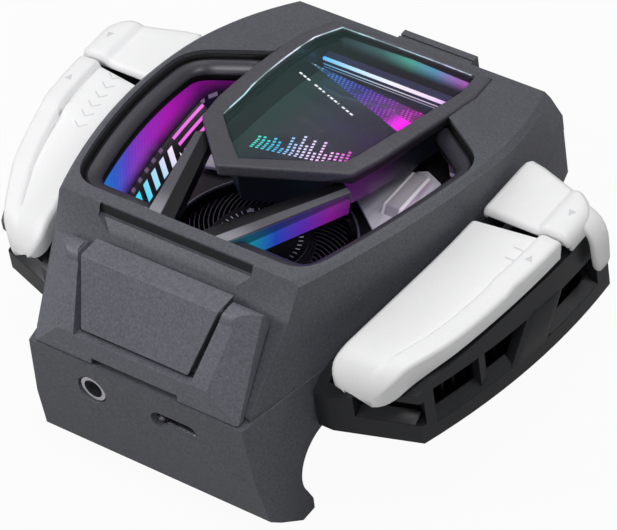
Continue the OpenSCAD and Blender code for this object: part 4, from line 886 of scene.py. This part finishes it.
wing_paint = grained("wing_black", linear(27, 28, 32), 0.40, 0.25)
rib_foot = (Vector((36.4, 14.0)), Vector((45.4, 14.0)))
rib_head = (Vector((41.4, 22.3)), Vector((50.2, 21.9)))
rib_steps = 8
vent_foot = 14.3
slot_foot = 15.3
for side, side_name in sides:
    mould(side_name + "_wing", 0.4)
    dress(wing_paint, side_name + "_wing")
    rib_rings = []
    for i in range(rib_steps + 1):
        low_y, low_z = rib_foot[0].lerp(rib_foot[1], i / rib_steps)
        high_y, high_z = rib_head[0].lerp(rib_head[1], i / rib_steps)
        low_x = wing_x(low_y)
        high_x = wing_x(high_y)
        proud = 0.2 if 0 < i < rib_steps else -0.1
        rib_rings.append([
            at(side * (low_x - 1.8), low_y, low_z), at(side * (low_x + proud - 0.2), low_y, low_z),
            at(side * (low_x + proud), low_y + 0.12, low_z + 0.3),
            at(side * (high_x + proud), high_y - 0.12, high_z - 0.3),
            at(side * (high_x + proud - 0.2), high_y, high_z), at(side * (high_x - 1.8), high_y, high_z),
        ])
    skin(side_name + "_vent_rib", "housing", rib_rings, [wing_paint], flip=side > 0,
         closed=True, caps=True)
    for lip_name, first_y, last_y, rise in (
        ("front_vent_lip", 21.1, 37.2, 1.9),
        ("rear_vent_lip", 46.0, 59.4, 1.7),
    ):
        vent_top = vent_foot + 0.1 + rise
        vent_section = [(1.95, vent_foot), (0.05, vent_foot), (0.05, vent_foot + 0.25), (1.75, vent_top),
                        (1.95, vent_top)]
        vent_rings = []
        for i in range(11):
            y = first_y + (last_y - first_y) * i / 10
            vent_rings.append([at(side * (wing_x(y) - d), y, z) for d, z in vent_section])
        skin(side_name + "_" + lip_name, "housing", vent_rings, [wing_paint], flip=side > 0,
             closed=True, caps=True)
    nose_rings = []
    for x in (31.9, 33.2, 37.0, 40.6, 41.4):
        y = 13.5 + 0.32 * (x - 27.8)
        slot_top = slot_foot + (1.9 if 32 < x < 41 else 1.4)
        slot_section = [(1.95, slot_foot), (0.05, slot_foot), (0.05, slot_foot + 0.2), (1.8, slot_top),
                        (1.95, slot_top)]
        nose_rings.append([at(side * x, y + d, z) for d, z in slot_section])
    skin(side_name + "_slot_lip", "housing", nose_rings, [wing_paint], flip=side < 0,
         closed=True, caps=True)

# Long keys: hollow matt white mouldings that rock on steel rods, with a raised strip along
# the outer edge that steps up at the rear. The left one has engraved arrowheads.
key_front = 12.4
key_foot = 28.1
key_top = 30.2
key_wall = 0.0006
inner_turn = 2.6
outer_turn = 2.2


def key_in(s):
    return 33.5 - 0.0028 * max(0, 50 - s) ** 2


def key_out(s):
    return 48.5 - 0.0065 * max(0, 51.6 - s) ** 2


def rounded(back, radius):
    return radius - math.sqrt(max(0, radius ** 2 - max(0, radius - back) ** 2))


def nose_fall(s):
    t = max(0, 1 - (s - key_front) / 5.2)
    return 4.4 * (1 - math.sqrt(1 - t * t))


def stepped(s, low, high):
    t = min(1, max(0, (s - low) / (high - low)))
    return t * t * (3 - 2 * t)


def long_key_ring(s):
    back = s - key_front
    inner = key_in(s) + rounded(back, inner_turn)
    outer = key_out(s) - rounded(back, outer_turn)
    crest = min(key_out(s) - 2.6, outer - 0.9)
    raised = stepped(s, 37.4, 39.6)
    low = key_foot - 0.0048 * max(0, 47 - s) ** 2 - 1.6 * math.exp(-back / 2)
    low_in = low + 3.0 * math.exp(-back / 5)
    top_in = key_top - 0.0042 * max(0, 35 - s) ** 2 - nose_fall(s)
    top_strip = 30.95 - (1 - raised) * (0.6 + 0.14 * max(0, 38 - s)) - nose_fall(s)
    top_out = max(low + 0.8, top_strip - 0.22)
    step = stepped(s, 14.0, 20) * (0.4 + 0.7 * min(1, max(0, (s - 17) / 21)))
    plate = top_strip - step
    plate_in = inner + 0.52
    line = [(inner + 0.15, low_in), (inner, low_in + 0.15), (inner, top_in - 0.55), (inner + 0.06, top_in - 0.26),
            (inner + 0.22, top_in - 0.07), (plate_in, top_in)]
    for f in (0.25, 0.5, 0.75, 1.0):
        line.append((plate_in + (crest - 1.35 - plate_in) * f, top_in + (plate - top_in) * f))
    line += [(crest - 0.85, plate + 0.03 * step), (crest - 0.68, plate + 0.14 * step),
             (crest - 0.3, plate + 0.86 * step), (crest - 0.12, plate + 0.98 * step), (crest + 0.05, top_strip),
             (crest + 0.4, top_strip - 0.02), (outer - 0.5, top_out + 0.05), (outer - 0.2, top_out),
             (outer - 0.06, top_out - 0.07), (outer, top_out - 0.22), (outer, low + 0.15), (outer - 0.15, low)]
    lead = 0.31 * max(0, 1 - back / 14)
    trail = 1.9 * max(0, (s - 40) / 10.8)
    ring = []
    for x, z in line:
        y = s + lead * max(0, x - key_in(key_front)) - trail * max(0, 1 - (x - inner) / (crest - inner))
        ring.append((x, y, z))
    return ring


def hollowed(key):
    hollow = key.modifiers.new("hollow", "SOLIDIFY")
    hollow.thickness = key_wall
    hollow.offset = -1
    even = key.modifiers.new("even", "WEIGHTED_NORMAL")
    even.keep_sharp = True


key_paint, key_shade = finish_of("key_white")
key_x, key_y = millimetres(key_shade, "XY")
key_grain = noise(key_shade, 3200)
key_tone = blended(key_grain, linear(229, 229, 230), linear(238, 238, 239))
arrow_across = abs(key_x + 40.0 + (key_y - 1) * 0.16)
arrow_tip = key_y - arrow_across * 0.8
arrows_on = ((arrow_tip % 2.45) < 0.32) * (arrow_across < 1.35) * inside(arrow_tip, -7.36, 5.4) * (key_x < 0)
long_mark = abs(abs(key_x) - 46.9) + (key_y - 1.1) * 0.5
short_mark = abs(abs(key_x) - 47.2) - (key_y - 13.2) * 0.5
marks_on = either((long_mark < 0.5) * inside(key_y, 0.7, 2.4), (short_mark < 0.5) * inside(key_y, 12.0, 13.6))
dash_pair = either(stroke(key_y, 0.3, 0.62, 0.05), stroke(key_y, 2.9, 3.22, 0.05))
dashes_on = stroke(key_x, 42.6, 44.4, 0.1) * dash_pair
key_cut = either(arrows_on, either(marks_on, dashes_on))
key_height = key_grain * 0.12 - key_cut
surface(key_shade, {
    "Base Color": blended(key_cut, key_tone, linear(206, 206, 209)),
    "Roughness": 0.44 + key_grain * 0.08,
    "Normal": key_shade.add("Bump", {}, {"Strength": 0.3, "Distance": 0.00012, "Height": key_height}),
})
long_stations = [key_front + d for d in (
    0, 0.15, 0.45, 0.9, 1.4, 1.9, 2.4, 3.0, 3.8, 4.8, 6, 8, 10.5, 13, 16, 19, 22, 24, 25, 25.5, 26, 26.5, 27.2,
    28.5, 31, 34, 37, 38.1, 38.3, 38.4)]
for side, side_name in sides:
    key_rings = []
    for s in long_stations:
        drop = 0.35 * stepped(s, 50.4, 50.8)
        drops = [drop if 1 < j < 21 else 0 for j in range(22)]
        key_rings.append([at(side * x, y, z - fall) for (x, y, z), fall in zip(long_key_ring(s), drops)])
    long_key = skin(side_name + "_long_key_cap", side_name + "_long", key_rings, [key_paint], flip=side > 0,
                    caps=True, sharp=50)
    hollowed(long_key)
    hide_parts(side_name + "_long_key")
    dress(key_paint, side_name + "_long_key")
    dress(pin_paint, side_name + "_key_rod")

# Short keys: hollow white mouldings behind the long ones. The raised strip runs on and turns
# into a hook that curls down over the wing's rear corner.
short_front = 52.6
short_front_foot = 29.3
hook_y = 58.6
hook_t = 0.84
short_rear_line = ((33.5, 64.2), (33.7, 64.9), (34.3, 65.35), (34.9, 65.4), (43.5, 62.6), (46.0, 61.7),
                   (46.9, 61.2), (48.0, 60.2), (48.6, 59.3), (49.1, 58.2), (49.3, 57.3))


def short_rear(x):
    for (x0, y0), (x1, y1) in zip(short_rear_line, short_rear_line[1:]):
        if x <= x1:
            return y0 + (y1 - y0) * max(0, x - x0) / (x1 - x0)
    return short_rear_line[-1][1]


def squared(value, power):
    return math.copysign(abs(value) ** power, value)


short_line = [(33.5, key_foot), (33.5, 29.3), (33.6, 29.8), (33.85, 30.08), (34.3, key_top), (36.5, key_top),
              (39.5, key_top), (42.0, key_top), (43.6, 30.24), (44.1, 30.38), (44.55, 30.7), (44.95, 31.02),
              (45.4, 31.2), (46.0, 31.25), (47.4, 31.15), (48.2, 31.0), (48.75, 30.75), (49.1, 30.35),
              (49.25, 29.8), (49.3, key_foot)]
short_stations = ((0, 9), (0, 0.75), (0.005, 0.35), (0.02, 0.1), (0.05, 0), (0.2, 0), (0.4, 0), (0.6, 0), (0.8, 0),
                  (0.93, 0), (0.97, 0.1), (0.99, 0.35), (1, 0.75), (1, 9))
hook_line = [(45.6, 30.35, 2.0), (46.8, 30.5, 2.1), (48.0, 30.35, 2.15), (49.2, 29.75, 2.15), (50.1, 28.85, 2.15),
             (50.7, 27.7, 2.1), (51.02, 26.2, 2.1), (51.05, 24.4, 2.05), (51.05, 22.6, 1.95), (51.05, 21.2, 1.8),
             (51.0, 20.45, 1.5), (50.98, 20.1, 1.1)]
hook_tip = {10: 0.7, 11: 0.45}
hook_turns = [math.tau * k / 16 for k in range(16)]
for side, side_name in sides:
    short_rings = []
    for share, sink in short_stations:
        foot = short_front_foot if share == 0 else key_foot
        short_rings.append([
            at(side * x, short_front + (short_rear(x) - short_front) * share, max(foot, z - sink))
            for x, z in short_line
        ])
    short_key = skin(side_name + "_short_key_cap", side_name + "_short", short_rings, [key_paint], flip=side > 0,
                     sharp=50)
    hollowed(short_key)
    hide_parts(side_name + "_short_key")
    dress(key_paint, side_name + "_short_key")
    hook_rings = []
    for i, (x, z, half) in enumerate(hook_line):
        run = heading(hook_line, i)
        ring = []
        for turn in hook_turns:
            wide_part = squared(math.cos(turn), 0.45) * half
            deep_part = squared(math.sin(turn), 0.6) * hook_tip.get(i, hook_t)
            ring.append(at(side * (x - run.y * deep_part), hook_y + wide_part, z + run.x * deep_part))
        hook_rings.append(ring)
    skin(side_name + "_short_key_hook", side_name + "_short", hook_rings, [key_paint], flip=side < 0,
         closed=True, caps=True, sharp=60)

# Rear clamp: charcoal jaw on two steel rods that slide in black guides. A wound wire spring
# sits between each rod's collar and its guide, made as one rigid coil that moves with the clamp.
mould("rear_clamp", 0.4)
dress(shell_paint, "rear_clamp")
dress(pin_paint, "clamp_rods")
dress(switch_paint, "clamp_guides")
spring_paint = metal("spring_wire", linear(176, 176, 182), 0.32)
dress(spring_paint, "clamp_springs")
spring_low, spring_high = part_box("clamp_springs")
spring_l = spring_high.y - spring_low.y
spring_r = (spring_high.z - spring_low.z) / 2
spring_z = (spring_high.z + spring_low.z) / 2
wire_r = 0.0003
wire_sides = 6
coil_r = spring_r - wire_r - 0.00002
turn_steps = 16
coil_steps = 9 * turn_steps
coil_points = []
coil_faces = []
for side in (-1, 1):
    spring_x = side * (spring_high.x - spring_r)
    coil_faces += net(coil_steps + 1, wire_sides, len(coil_points))
    for i in range(coil_steps + 1):
        turn = math.tau * i / turn_steps
        wire_y = spring_low.y + wire_r + (spring_l - 2 * wire_r) * i / coil_steps
        for k in range(wire_sides):
            r = coil_r + wire_r * math.cos(math.tau * k / wire_sides)
            y = wire_y + wire_r * math.sin(math.tau * k / wire_sides)
            coil_points.append(Vector((spring_x + r * math.cos(turn), y, spring_z + r * math.sin(turn))))
coils = piece_of("clamp_spring_coils", "clamp", coil_points, coil_faces, [spring_paint], sharp=70)
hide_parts("clamp_springs")
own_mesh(coils)
